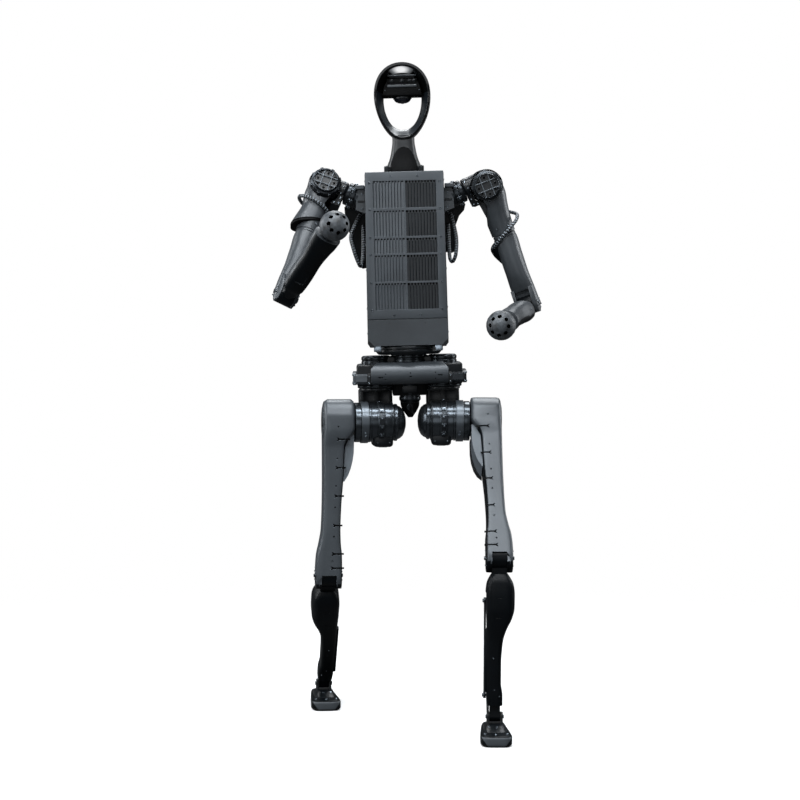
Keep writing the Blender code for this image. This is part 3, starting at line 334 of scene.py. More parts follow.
def box(lo, hi, bevel=0.0006, seg=2, taper=1.0):
    bm = bmesh.new()
    bmesh.ops.create_cube(bm, size=1.0)
    lo, hi = [min(p, q) for p, q in zip(lo, hi)], [max(p, q) for p, q in zip(lo, hi)]
    for v in bm.verts:
        k = taper if v.co.z > 0 else 1.0
        v.co = Vector(((lo[0] + hi[0]) / 2 + v.co.x * (hi[0] - lo[0]) * k, (lo[1] + hi[1]) / 2 + v.co.y * (hi[1] - lo[1]),
                       (lo[2] + hi[2]) / 2 + v.co.z * (hi[2] - lo[2])))
    if bevel:
        bmesh.ops.bevel(bm, geom=list(bm.edges), offset=bevel, segments=seg, profile=0.5, affect='EDGES', clamp_overlap=True)
    return to_mesh(bm)


AX = {'Z': I4, 'X': R('Y', 90), 'Y': R('X', -90), '-X': R('Y', -90), '-Y': R('X', 90), '-Z': R('X', 180)}


def chamfered(profile, c):
    """Profile with each inner corner cut by c."""
    out = [profile[0]]
    for p, q, r in zip(profile, profile[1:], profile[2:]):
        a, b = Vector(p) - Vector(q), Vector(r) - Vector(q)
        if a.length < 1e-9 or b.length < 1e-9 or a.angle(b) > radians(165):
            out.append(q)
            continue
        k = min(c, a.length * 0.4, b.length * 0.4)
        u, w = a.normalized() * k, b.normalized() * k
        out.append(tuple(Vector(q) + u))
        out.append(tuple(Vector(q) + (u + w) * 0.29))
        out.append(tuple(Vector(q) + w))
    out.append(profile[-1])
    return out


def lathe(profile, axis='Z', seg=72, center=(0, 0, 0), chamfer=0.0006):
    """Turned solid from (radius, height) points; both ends on the axis."""
    prof = chamfered(profile, chamfer) if chamfer else profile
    bm = bmesh.new()
    rings = []
    for r, h in prof:
        if r < 1e-6:
            rings.append([bm.verts.new((0, 0, h))])
        else:
            rings.append([bm.verts.new((r * cos(2 * pi * i / seg), r * sin(2 * pi * i / seg), h)) for i in range(seg)])
    for p, q in zip(rings, rings[1:]):
        for i in range(seg):
            j = (i + 1) % seg
            if len(p) == 1 and len(q) > 1:
                bm.faces.new((p[0], q[i], q[j]))
            elif len(q) == 1 and len(p) > 1:
                bm.faces.new((p[i], q[0], p[j]))
            elif len(p) > 1:
                bm.faces.new((p[i], q[i], q[j], p[j]))
    bmesh.ops.transform(bm, matrix=T(*center) @ AX[axis], verts=bm.verts)
    return to_mesh(bm)


def cyl(r, lo, hi, axis='Z', seg=48, center=(0, 0, 0), bevel=0.0006):
    return lathe([(0, hi), (r, hi), (r, lo), (0, lo)], axis, seg, center, bevel)


def tubeband(r0, r1, lo, hi, axis='Z', seg=72, center=(0, 0, 0), bevel=0.0006):
    """Closed ring of rectangular section."""
    prof = [(r0, lo), (r0, hi), (r1, hi), (r1, lo)]
    pts = []
    for i in range(4):
        p, q, r = Vector(prof[i - 1]), Vector(prof[i]), Vector(prof[(i + 1) % 4])
        pts += [q + (p - q).normalized() * bevel, q + (r - q).normalized() * bevel]
    bm = bmesh.new()
    vs = [[bm.verts.new((p.x * cos(2 * pi * i / seg), p.x * sin(2 * pi * i / seg), p.y)) for p in pts] for i in range(seg)]
    for i in range(seg):
        for j in range(len(pts)):
            k, l = (i + 1) % seg, (j + 1) % len(pts)
            bm.faces.new((vs[i][j], vs[i][l], vs[k][l], vs[k][j]))
    bmesh.ops.transform(bm, matrix=T(*center) @ AX[axis], verts=bm.verts)
    return to_mesh(bm)


def plate(outline, thick, normal='X', offset=0.0, bevel=0.0006):
    """Flat outline extruded by thick about offset along the normal."""
    bm = bmesh.new()
    area = sum(p[0] * q[1] - q[0] * p[1] for p, q in zip(outline, outline[1:] + outline[:1]))
    pts = outline if area > 0 else outline[::-1]
    lowr = [bm.verts.new((u, v, -thick / 2)) for u, v in pts]
    uppr = [bm.verts.new((u, v, thick / 2)) for u, v in pts]
    n = len(pts)
    bm.faces.new(lowr[::-1])
    bm.faces.new(uppr)
    for i in range(n):
        bm.faces.new((lowr[i], lowr[(i + 1) % n], uppr[(i + 1) % n], uppr[i]))
    bevel_sharp(bm, bevel, 2, 32)
    m = {'X': Matrix(((0, 0, 1, 0), (1, 0, 0, 0), (0, 1, 0, 0), (0, 0, 0, 1))),
         'Y': Matrix(((1, 0, 0, 0), (0, 0, 1, 0), (0, 1, 0, 0), (0, 0, 0, 1))), 'Z': I4}[normal]
    off = {'X': T(offset, 0, 0), 'Y': T(0, offset, 0), 'Z': T(0, 0, offset)}[normal]
    bmesh.ops.transform(bm, matrix=off @ m, verts=bm.verts)
    return to_mesh(bm)


def ring(cx, cy, z, hx, hy, n=4.0, count=48, s=1):
    pts = []
    for i in range(count):
        t = 2 * pi * i / count
        c, q = cos(t), sin(t)
        pts.append(Vector((s * (cx + hx * math.copysign(abs(c) ** (2 / n), c)),
                           cy + hy * math.copysign(abs(q) ** (2 / n), q), z)))
    return pts


def loft(rings, closed=False):
    bm = bmesh.new()
    vs = [[bm.verts.new(p) for p in r] for r in rings]
    n = len(rings[0])
    for i in range(len(vs) if closed else len(vs) - 1):
        p, q = vs[i], vs[(i + 1) % len(vs)]
        for j in range(n):
            bm.faces.new((p[j], p[(j + 1) % n], q[(j + 1) % n], q[j]))
    if not closed:
        bm.faces.new(vs[0][::-1])
        bm.faces.new(vs[-1])
    return to_mesh(bm)


def pchip(xs, ys, x):
    """Monotone cubic through rows whose xs fall or rise."""
    if xs[0] > xs[-1]:
        xs, ys = xs[::-1], ys[::-1]
    n = len(xs)
    h = [xs[i + 1] - xs[i] for i in range(n - 1)]
    d = [(ys[i + 1] - ys[i]) / h[i] for i in range(n - 1)]
    sl = [d[0]] + [0.0] * (n - 2) + [d[-1]]
    for i in range(1, n - 1):
        if d[i - 1] * d[i] > 0:
            w1, w2 = 2 * h[i] + h[i - 1], h[i] + 2 * h[i - 1]
            sl[i] = (w1 + w2) / (w1 / d[i - 1] + w2 / d[i])
    x = min(max(x, xs[0]), xs[-1])
    k = max(i for i in range(n - 1) if xs[i] <= x + 1e-12)
    t = (x - xs[k]) / h[k]
    return ((2 * t ** 3 - 3 * t * t + 1) * ys[k] + (t ** 3 - 2 * t * t + t) * h[k] * sl[k]
            + (-2 * t ** 3 + 3 * t * t) * ys[k + 1] + (t ** 3 - t * t) * h[k] * sl[k + 1])


def at(rows, z):
    xs = [r[0] for r in rows]
    return [pchip(xs, [r[k] for r in rows], z) for k in range(1, len(rows[0]))]


def dense(rows, step):
    """Rows resampled about every step, keeping the end rows."""
    z0, z1 = rows[0][0], rows[-1][0]
    n = max(2, int(abs(z1 - z0) / step))
    zs = [z0 + (z1 - z0) * i / n for i in range(n + 1)]
    return [(z, *at(rows, z)) for z in zs]


def joined(*parts):
    """Meshes, or (mesh, matrix) pairs, as one mesh of separate shells."""
    bm = bmesh.new()
    for p in parts:
        me, m = p if isinstance(p, tuple) else (p, I4)
        k = len(bm.verts)
        bm.from_mesh(me)
        bm.verts.ensure_lookup_table()
        if m is not I4:
            bmesh.ops.transform(bm, matrix=m, verts=bm.verts[k:])
            if m.determinant() < 0:
                bmesh.ops.reverse_faces(bm, faces=[f for f in bm.faces if f.verts[0].index >= k])
    return to_mesh(bm, fix=False)


def cut(me, tool, op='DIFFERENCE'):
    a = bpy.data.objects.new("tmp_a", me)
    b = bpy.data.objects.new("tmp_b", tool)
    for o in (a, b):
        bpy.context.scene.collection.objects.link(o)
    md = a.modifiers.new("b", 'BOOLEAN')
    md.operation, md.object, md.solver = op, b, 'EXACT'
    dg = bpy.context.evaluated_depsgraph_get()
    out = bpy.data.meshes.new_from_object(a.evaluated_get(dg))
    out.materials.clear()
    if len(out.polygons) < 4:
        raise RuntimeError("a cut left nothing")
    for o in (a, b):
        bpy.data.objects.remove(o, do_unlink=True)
    return out


COUNT = [0]


def piece(name, body, parts, rep=(), smooth=35, paint=None, shift=None):
    """One shown piece. parts is a list of (mesh, material key[, matrix]); it
    sits in its body's frame and rides on that body."""
    bm = bmesh.new()
    keys = []
    for p in parts:
        me, key, m = (*p, I4)[:3]
        if key not in keys:
            keys.append(key)
        nv, nf = len(bm.verts), len(bm.faces)
        bm.from_mesh(me)
        bm.verts.ensure_lookup_table()
        bm.faces.ensure_lookup_table()
        if m is not I4:
            bmesh.ops.transform(bm, matrix=m, verts=bm.verts[nv:])
        for f in bm.faces[nf:]:
            f.material_index = keys.index(key)
        if m.determinant() < 0:
            bmesh.ops.reverse_faces(bm, faces=bm.faces[nf:])
    if paint:
        key, test = paint
        if key not in keys:
            keys.append(key)
        bm.normal_update()
        for f in bm.faces:
            if test(f.calc_center_median(), f.normal):
                f.material_index = keys.index(key)
    me = bpy.data.meshes.new(name)
    bm.to_mesh(me)
    bm.free()
    me.transform(B[body] @ (shift or I4))
    me.shade_smooth()
    me.set_sharp_from_angle(angle=radians(smooth))
    o = bpy.data.objects.new(name, me)
    bpy.context.scene.collection.objects.link(o)
    for k in keys:
        me.materials.append(MAT[k])
    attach(o, body)
    if rep:
        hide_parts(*rep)
    return o


def bolt(r=0.0026, h=0.0022, seg=20):
    """Socket-head screw, head up +Z with its seat at z 0."""
    bm = bmesh.new()
    prof = [(r, 0.0), (r, h * 0.72), (r * 0.88, h)]
    rings = [[bm.verts.new((q * cos(2 * pi * i / seg), q * sin(2 * pi * i / seg), z)) for i in range(seg)] for q, z in prof]
    hexo = []
    for z in (h, h * 0.25):
        hexo.append([])
        for i in range(seg):
            t = 2 * pi * i / seg
            k = cos(pi / 6) / cos((t % (pi / 3)) - pi / 6)
            hexo[-1].append(bm.verts.new((r * 0.52 * k * cos(t), r * 0.52 * k * sin(t), z)))
    rings += hexo
    for p, q in zip(rings, rings[1:]):
        for i in range(seg):
            j = (i + 1) % seg
            bm.faces.new((p[i], p[j], q[j], q[i]))
    bm.faces.new(rings[0][::-1])
    bm.faces.new(rings[-1])
    return to_mesh(bm)


BOLT = {}


def bolts(places, r=0.0026, h=0.0022):
    """Screws at (point, direction) pairs."""
    if (r, h) not in BOLT:
        BOLT[(r, h)] = bolt(r, h)
    out = []
    for p, d in places:
        q = Vector(d).to_track_quat('Z', 'Y').to_matrix().to_4x4()
        out.append((BOLT[(r, h)], T(*p) @ q))
    return joined(*out)


def smooth_path(ctrl, count):
    p = [Vector(c) for c in ctrl]
    p = [2 * p[0] - p[1]] + p + [2 * p[-1] - p[-2]]
    out, spans = [], len(p) - 3
    for i in range(count + 1):
        u = i / count * spans
        k = min(int(u), spans - 1)
        t = u - k
        a, b, c, d = p[k:k + 4]
        out.append(0.5 * ((2 * b) + (c - a) * t + (2 * a - 5 * b + 4 * c - d) * t * t + (3 * b - a - 3 * c + d) * t ** 3))
    return out


def hose(path, r, pitch=0.0, relief=0.0, step=0.0012, sides=16, band=0.42):
    """Tube along a path with a raised helical wrap. Returns the mesh; when pitch is given, the faces of the wrap take
    material index 1."""
    fine = [path[0]]
    acc = 0.0
    for a, b in zip(path, path[1:]):
        n = max(1, int((b - a).length / step))
        for i in range(1, n + 1):
            fine.append(a.lerp(b, i / n))
    bm = bmesh.new()
    up = Vector((0.3, 0.2, 1)).normalized()
    rings, length, prev = [], 0.0, None
    side = None
    for i, p in enumerate(fine):
        d = (fine[min(i + 1, len(fine) - 1)] - fine[max(i - 1, 0)]).normalized()
        if side is None:
            side = d.cross(up).normalized()
        side = (side - d * side.dot(d)).normalized()
        other = d.cross(side)
        if prev is not None:
            length += (p - prev).length
        prev = p
        row = []
        for j in range(sides):
            t = 2 * pi * j / sides
            k = 0.0
            if pitch:
                ph = (length / pitch - j / sides) % 1.0
                k = relief * (1.0 if ph < band else 0.0)
                k *= min(1.0, min(ph, band - ph) / 0.08) if ph < band else 0.0
            end = 1.0 if 1 < i < len(fine) - 2 else 0.86
            row.append(bm.verts.new(p + (side * cos(t) + other * sin(t)) * (r + k) * end))
        rings.append(row)
    faces = []
    cum = 0.0
    for i, (p, q) in enumerate(zip(rings, rings[1:])):
        cum += (fine[i + 1] - fine[i]).length
        for j in range(sides):
            f = bm.faces.new((p[j], p[(j + 1) % sides], q[(j + 1) % sides], q[j]))
            if pitch:
                ph = ((cum - 0.5 * step) / pitch - (j + 0.5) / sides) % 1.0
                f.material_index = 1 if ph < band else 0
    bm.faces.new(rings[0][::-1])
    bm.faces.new(rings[-1])
    return to_mesh(bm)


def wrapped(name, body, path, r, rep=(), pitch=0.008, relief=0.0007, band=0.42, light='wrap'):
    me = hose(path, r, pitch, relief, band=band)
    me.name = name
    me.transform(B[body])
    me.shade_smooth()
    o = bpy.data.objects.new(name, me)
    bpy.context.scene.collection.objects.link(o)
    me.materials.append(MAT['cable'])
    me.materials.append(MAT[light])
    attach(o, body)
    if rep:
        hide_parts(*rep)
    return o


def half_width(z):
    k = (z - TORSO_BOTTOM) / (TORSO_TOP - TORSO_BOTTOM)
    return HALF_BOTTOM + (HALF_TOP - HALF_BOTTOM) * k


def slab(y0, y1, z0, z1, inset, bevel, seg=3):
    a, b = half_width(z0) - inset, half_width(z1) - inset
    return box((-a, y0, z0), (a, y1, z1), bevel, seg, b / a)


# ------------------------------------------------------------------------ pelvis
fr = box((-0.139, -0.050, -0.0768), (0.139, 0.060, -0.022), 0.005, 3)
fr = cut(fr, joined(cyl(0.0482, -0.2, 0.1, 'Z', 64, (HIP_YAW_X, 0, 0), 0), cyl(0.0482, -0.2, 0.1, 'Z', 64, (-HIP_YAW_X, 0, 0), 0),
                    cyl(0.0305, -0.2, 0.1, 'Z', 64, (0, 0, 0), 0)))
fr = cut(fr, joined(*[box((x - 0.011, 0.0585, -0.066), (x + 0.011, 0.08, -0.034), 0) for x in (-0.105, -0.07, -0.035, 0.0, 0.035, 0.07, 0.105)]))
piece('pelvis_frame_body', 'pelvis', [(rounded(fr, 0.0008), 'black'),
      (bolts([((x, 0.060, z), (0, 1, 0)) for x in (-0.128, -0.0875, -0.0175, 0.0175, 0.0875, 0.128) for z in (-0.030, -0.070)]), 'bolt')],
      ['pelvis_frame'])
piece('waist_motor_body', 'pelvis', [
    (box((-0.072, -0.022, -0.0225), (0.072, 0.046, -0.0020), 0.003, 2), 'black'),
    (lathe([(0, 0.0018), (0.045, 0.0018), (0.0470, 0.0000), (0.0470, -0.006), (0.0455, -0.007), (0.0455, -0.0105), (0.0470, -0.0115),
            (0.0470, -0.0190), (0.045, -0.0214), (0.0300, -0.0217), (0.0300, -0.086), (0.0285, -0.088), (0.0285, -0.104),
            (0.0268, -0.105), (0.0268, -0.109), (0.0285, -0.110), (0.0285, -0.118), (0.022, -0.126), (0, -0.126)], chamfer=0.0005), 'motor_dark'),
    (bolts([((0.0235 * cos(radians(a)), 0.0235 * sin(radians(a)), -0.1185), (0, 0, -1)) for a in range(0, 360, 60)], 0.0018, 0.0014), 'bolt')],
    ['waist_motor'], smooth=18)
for side, s in SIDES:
    c = (s * HIP_YAW_X, 0, 0)
    prof = [(0, -0.0022), (0.026, -0.0022), (0.0275, -0.001), (0.036, -0.001), (0.0385, -0.004), (0.0385, -0.010), (0.0372, -0.011), (0.0372, -0.014),
            (0.0385, -0.015), (0.0385, -0.0215), (0.0475, -0.0217), (0.0475, -0.0775), (0.0500, -0.0785), (0.0500, -0.0835), (0.046, -0.0855), (0, -0.0855)]
    piece('hip_yaw_motor_body_' + side, 'pelvis', [
        (lathe(prof, 'Z', 80, c, 0.0005), 'motor_dark'),
        (tubeband(0.0290, 0.0345, -0.0012, 0.0002, 'Z', 72, c, 0.0004), 'band'),
        (bolts([((c[0] + 0.0425 * cos(radians(a)), 0.0425 * sin(radians(a)), -0.0216), (0, 0, 1)) for a in range(15, 375, 30)], 0.0019, 0.0020), 'bolt')],
        ['hip_yaw_motor_' + side], smooth=18)
    # side cap with its bolted ear; the right cap takes the lighter toe grey while the left stays black, a painted
    # highlight on the side facing the key lamp
    ear = plate([(-0.048, -0.0745), (-0.048, -0.046), (-0.030, -0.0405), (0.040, -0.0405), (0.050, -0.050), (0.050, -0.069), (0.044, -0.0745)], 0.0095, 'X', s * 0.1443, 0.0022)
    ear = cut(ear, joined(box((s * 0.1478, -0.030, -0.070), (s * 0.156, 0.030, -0.052), 0)))
    piece('pelvis_side_cap_' + side, 'pelvis', [
        (rounded(ear, 0.0006), 'toe' if s < 0 else 'black'),
        (bolts([((s * 0.1488, y, z), (s, 0, 0)) for y in (-0.038, 0.040) for z in (-0.0695, -0.0475)], 0.0028, 0.0020), 'bolt_bright'),
        (bolts([((s * 0.1448, -0.0478, z), (0, -1, 0)) for z in (-0.0700, -0.0485)], 0.0021, 0.0018), 'bolt_bright')],
        ['pelvis_end_cap_' + side])
    # tab that carries the cover, with a bright edge: the edge block is the lighter toe grey on the right and dark motor
    # grey on the left, a painted highlight on the lit side
    piece('cover_tab_' + side, 'pelvis', [
        (plate([(-0.0665, -0.073), (-0.0665, -0.051), (-0.0600, -0.0445), (-0.0508, -0.0445), (-0.0508, -0.078), (-0.0600, -0.078)], 0.0075, 'X', s * 0.1063, 0.0012), 'black'),
        (plate([(-0.0575, -0.066), (-0.0575, -0.050), (-0.0508, -0.046), (-0.0508, -0.072)], 0.030, 'X', s * 0.1258, 0.0016), 'toe' if s < 0 else 'motor_dark'),
        (bolts([((s * 0.1063, -0.0660, z), (0, -1, 0)) for z in (-0.0688, -0.0525)], 0.0017, 0.0018), 'bolt_bright')])
half = []
for i in range(41):
    t = -pi / 2 + pi * i / 40
    half.append((-0.0508 - 0.030 * cos(t), -0.046 + 0.0290 * sin(t)))
cover = plate(half, 0.202, 'X', 0, 0)
cover = cut(cover, joined(*[(box((-0.02, -0.1, -0.02), (0.02, 0.1, 0.02), 0), T(s * 0.101, 0, -0.004) @ R('Y', s * 45)) for s in (1, -1)]))
holes = []
for x, z, w in ((-0.0760, -0.0550, 0.0048), (-0.063, -0.0470, 0.0), (-0.063, -0.0610, 0.0), (0.002, -0.0450, 0.0004), (0.002, -0.0545, 0.0016),
                (0.067, -0.0450, 0.0), (0.067, -0.0610, 0.0), (0.079, -0.0520, 0.0048)):
    holes.append(box((x - 0.0015 - w, -0.09, z - 0.0016), (x + 0.0015 + w, -0.068, z + 0.0016), 0.0004, 2))
cover = cut(rounded(cover, 0.0014, 3, 40), joined(*holes))
# the inner faces of the cut holes take the near-black backing: painted shade in the recesses
piece('pelvis_cover', 'pelvis', [(rounded(cover, 0.0003, 1, 50), 'panel')], ['pelvis_front_cover'],
      paint=('void', lambda c, n_: c.y < -0.056 and ((c.y + 0.0508) / 0.030) ** 2 + ((c.z + 0.046) / 0.029) ** 2 < 0.93 and abs(c.x) < 0.099))
# cable bundle that drops between the hips
bundle = []
for k, (x0, x1, y0, zb, r) in enumerate(((-0.016, 0.006, -0.002, -0.150, 0.0038), (0.018, -0.003, 0.000, -0.146, 0.0021),
                                         (-0.008, 0.008, 0.005, -0.154, 0.0040), (0.009, -0.008, -0.003, -0.142, 0.0019),
                                         (-0.018, 0.001, 0.009, -0.149, 0.0038), (0.018, 0.004, 0.011, -0.153, 0.0038))):
    pts = smooth_path([(x0, y0 - 0.010, -0.078), (x0 * 0.95, y0 - 0.006, -0.096), (x0 * 0.6 + x1 * 0.3, y0, -0.118), (x1 * 0.9, y0 + 0.003, -0.138),
                       (x1 * 0.6, y0 + 0.010, zb), (x1 * 0.2, y0 + 0.022, zb + 0.012), (0.0, y0 + 0.034, -0.120), (0.0, y0 + 0.038, -0.100)], 60)
    bundle.append((hose(pts, r, step=0.002), 'cable' if k not in (1, 3) else 'band'))
piece('hip_cable_bundle', 'pelvis', bundle + [
    (box((-0.020, -0.030, -0.100), (0.020, 0.027, -0.0770), 0.004, 3), 'black'),
    (loft([ring(cx_, -0.018, z, hx, 0.010, 3.0, 48) for z, cx_, hx in dense([(-0.0775, 0, 0.047), (-0.100, 0, 0.046), (-0.106, 0, 0.044)], 0.004)]), 'void'),
    (loft([ring(cx_, 0.018, z, hx, 0.006, 3.0, 48) for z, cx_, hx in dense([(-0.0775, 0, 0.042), (-0.086, 0, 0.040), (-0.092, 0, 0.0265), (-0.132, 0, 0.0250),
                                                                            (-0.146, 0, 0.0195), (-0.156, 0, 0.0130), (-0.166, 0, 0.0060)], 0.003)]), 'void')])

# ------------------------------------------------------------------------- torso
piece('waist_disc', 'torso', [
    (lathe([(0, 0.0330), (0.070, 0.0330), (0.0785, 0.0265), (0.0850, 0.0248), (0.087, 0.0232), (0.087, 0.0185), (0.0845, 0.0176), (0.0845, 0.0158), (0.087, 0.0150),
            (0.087, 0.010), (0.084, 0.0062), (0.080, 0.0024), (0, 0.0024)], 'Z', 128, chamfer=0.0005), 'black'),
    (bolts([((0.0815 * cos(radians(a)), 0.0815 * sin(radians(a)), 0.0252), (0.10 * cos(radians(a)), 0.10 * sin(radians(a)), 1)) for a in range(0, 360, 20)], 0.0019, 0.0018), 'bolt')],
    ['waist_turntable'], smooth=18)
body = slab(FRONT + 0.005, BACK - 0.010, TORSO_BOTTOM, TORSO_TOP, 0.0, 0.006, 4)
tools = []
for s in (1, -1):
    xo = 0.101
    tools.append(box((s * xo, -0.062, SEAM - 0.0008), (s * 0.13, 0.064, SEAM + 0.0008), 0))
    tools.append(box((s * xo, 0.0655, 0.046), (s * 0.13, 0.0668, 0.466), 0))
    for i in range(9):
        tools.append((box((s * 0.100, -0.045, -0.0016), (s * 0.13, -0.004, 0.0016), 0), T(0, 0, 0.150 + i * 0.0115) @ R('X', 0)))
        tools.append((box((s * 0.100, 0.008, -0.0016), (s * 0.13, 0.049, 0.0016), 0), T(0, 0, 0.150 + i * 0.0115)))
    tools.append(box((s * 0.1025, -0.040, 0.300), (s * 0.13, 0.048, 0.355), 0))
for tool in tools:
    body = cut(body, joined(tool))
scr = []
for s in (1, -1):
    for y in (-0.066, 0.058):
        for z in (0.060, 0.125, 0.225, 0.290, 0.455):
            scr.append(((s * (half_width(z) - 0.0004), y, z), (s, 0, 0)))
piece('torso_housing', 'torso', [(body, 'panel_dark'), (bolts(scr, 0.0024, 0.0014), 'bolt')], ['torso_shell'])

ROWS = [(0.4540, 0.3838), (0.3775, 0.3103), (0.3055, 0.2663), (0.2617, 0.1935), (0.1890, 0.1208)]
C0, C1, PITCH = 0.0022, 0.0818, 0.00796
fp = slab(FRONT, FRONT + 0.0047, SEAM + 0.0006, TORSO_TOP - 0.0005, 0.001, 0.0014, 3)
cells = [box((s * C0, -0.1, z0), (s * C1, 0.0, z1), 0) for s in (1, -1) for z1, z0 in ROWS]
fp = rounded(cut(fp, joined(*cells)), 0.00025, 1, 50)
marks = [((x, FRONT, z), (0, -1, 0)) for x in (-0.0345, 0.0345) for z in (0.4655, 0.1066)]
marks += [((s * 0.0915, FRONT, z), (0, -1, 0)) for s in (1, -1) for z in (0.4500, 0.3798, 0.3075, 0.2640, 0.1912, 0.1194)]
rims = [(tubeband(0.0027, 0.0034, -0.0003, 0.0004, 'Z', 24, bevel=0.0001), T(*p) @ R('X', 90)) for p, d in marks]
piece('grille_frame', 'torso', [(fp, 'panel'), (bolts(marks, 0.0026, 0.0006), 'bolt'), (joined(*rims), 'panel_dark')], ['front_grille'])
for s, nm in ((-1, 'right'), (1, 'left')):
    blades, combs = [], []
    gap_top = 0.0036 if s < 0 else 0.0056
    w = 0.0070 if s < 0 else 0.0064
    for z1, z0 in ROWS:
        for i in range(10):
            x = C0 + PITCH * i + (PITCH - w) / 2
            q = [(s * x, FRONT + 0.0007), (s * (x + w), FRONT + 0.0032), (s * (x + w), FRONT + 0.0042), (s * x, FRONT + 0.0017)]
            blades.append(plate(q, z1 - z0 - gap_top - 0.0004, 'Z', (z1 + z0 - gap_top) / 2, 0.00022))
            combs.append(box((s * (x + w + (PITCH - w) / 2 - 0.0018), FRONT + 0.0009, z1 - gap_top - 0.0006), (s * (x + w + (PITCH - w) / 2 + 0.0018), FRONT + 0.0040, z1 - 0.00002), 0.0002, 1))
    # the right column keeps the panel paint and the left column takes the darker louvre copy: painted shade on the
    # column away from the key lamp
    piece('grille_louvres_' + nm, 'torso', [(joined(*blades, *combs), 'panel' if s < 0 else 'louvre')])
piece('grille_backing', 'torso', [(box((-0.0825, FRONT + 0.0043, 0.118), (0.0825, FRONT + 0.00485, 0.457), 0.0001, 1), 'void')])

hb = half_width(TORSO_BOTTOM) - 0.001
zb = TORSO_BOTTOM - 0.007
door = plate([(-hb + 0.016, zb), (hb - 0.016, zb), (hb, zb + 0.016), (hb - 0.0004, SEAM - 0.0008), (-hb + 0.0004, SEAM - 0.0008), (-hb, zb + 0.016)],
             0.0047, 'Y', FRONT + 0.00235, 0.0016)
piece('battery_door', 'torso', [(door, 'casing'),
      (bolts([((s * 0.046, FRONT, 0.0845), (0, -1, 0)) for s in (1, -1)], 0.0015, 0.0002), 'panel_dark')], ['battery_cover'])
guards = []
for s in (1, -1):
    guards.append((plate([(s * (hb - 0.017), zb - 0.0010), (s * (hb + 0.0004), zb + 0.0165), (s * (hb + 0.0008), zb + 0.006), (s * (hb - 0.006), zb - 0.0040), (s * (hb - 0.017), zb - 0.0040)],
                         0.020, 'Y', FRONT + 0.0115, 0.0012), 'black'))
    guards.append((box((s * 0.070, FRONT + 0.014, 0.0115), (s * 0.090, FRONT + 0.028, 0.0300), 0.0018, 3), 'bolt_bright'))
    guards.append((box((s * 0.060, FRONT + 0.016, 0.0255), (s * 0.099, FRONT + 0.052, 0.0335), 0.0015, 2), 'black'))
piece('torso_corner_guards', 'torso', guards)

bk = slab(BACK - 0.0097, BACK, TORSO_BOTTOM + 0.004, TORSO_TOP - 0.004, 0.003, 0.003, 4)
tools = [box((-0.070, BACK - 0.003, 0.250), (0.070, BACK + 0.02, 0.400), 0)]
tools += [box((x - 0.0016, BACK - 0.0050, 0.105), (x + 0.0016, BACK + 0.02, 0.215), 0) for x in [-0.066 + 0.0110 * i for i in range(13)]]
tools += [box((-0.0985, BACK - 0.0010, 0.2318), (0.0985, BACK + 0.02, 0.2332), 0)]
tools += [box((-0.040, BACK - 0.0055, 0.424), (0.040, BACK + 0.02, 0.446), 0)]
bk = rounded(cut(bk, joined(*tools)), 0.0007, 2, 50)
backs = [((s * 0.090, BACK, z), (0, 1, 0)) for s in (1, -1) for z in (0.455, 0.370, 0.290, 0.200, 0.120, 0.055)]
backs += [((s * 0.060, BACK - 0.003, z), (0, 1, 0)) for s in (1, -1) for z in (0.262, 0.388)]
piece('back_panel', 'torso', [(bk, 'casing'), (bolts(backs, 0.0030, 0.0006), 'bolt'),
      (box((-0.030, BACK - 0.0052, 0.428), (0.030, BACK - 0.0025, 0.442), 0.0008, 2), 'black'),
      (joined(*[(cyl(0.0040, 0, 0.0018, 'Y', 32), T(x, BACK - 0.0026, 0.435)) for x in (-0.018, 0.0, 0.018)]), 'bolt_bright')], ['back_cover'])
for key, mat in (('battery_pack', 'battery'), ('computer_unit', 'board')):
    o = frame["nodes"][key]
    o.data.materials.clear()
    o.data.materials.append(MAT[mat])


# -------------------------------------------------------------------------- head
def egg(t, a, b, k, zc, square):
    c, q = cos(t), sin(t)
    return a * math.copysign(abs(q) ** square, q) * (1 + k * c), zc + b * c


SECTION = [(1.00, -0.38), (0.995, -0.70), (0.975, -0.865), (0.955, -0.905), (0.935, -0.920), (0.780, -0.980), (0.760, -0.986), (0.735, -0.986), (0.70, -0.95), (0.64, -0.86), (0.42, -0.60), (0.20, -0.34), (0.05, -0.14), (0.0, 0.02),
           (0.0, 0.40), (0.0, 0.80), (0.05, 0.94), (0.17, 1.0), (0.50, 1.0), (0.80, 0.985), (0.94, 0.88), (0.99, 0.70), (1.0, 0.30)]


def head_point(t, f, g_, grow=0.0):
    xo, zo = egg(t, 0.0728 + grow, 0.100 + grow, 0.17, 0.661, 0.97)
    xi, zi = egg(t, 0.0495 - grow, 0.0710 - grow, 0.10, 0.6610, 0.84)
    if g_ < -0.90 and 0.76 < f < 0.96:
        # the front face slopes off outwards on the sides and the chin
        g_ = -0.986 + 0.0625 * max(0.0, min(1.0, (0.45 - cos(t)) / 0.5)) * (f - 0.76) / 0.195
    depth = 0.034 + 0.020 * (1 + cos(t)) / 2 + grow
    yc = -0.014 - 0.006 * (1 + cos(t)) / 2
    return Vector((xi + (xo - xi) * f, yc + depth * g_, zi + (zo - zi) * f))


def head_loft(grow, n=120):
    return loft([[head_point(2 * pi * i / n, f, q, grow) for f, q in SECTION] for i in range(n)], closed=True)


ringmesh = head_loft(0.0)


shown = piece('head_shell', 'torso', [(ringmesh, 'gloss')], ['head_ring'], smooth=80)
shown.data.materials.append(MAT['bevel'])
for f_ in shown.data.polygons:
    # the sloping inner face of the ring
    turn_ = 2 * pi * (f_.index // len(SECTION)) / 120
    if 8 <= f_.index % len(SECTION) <= 11 and cos(turn_) < 0.30:
        f_.material_index = 1
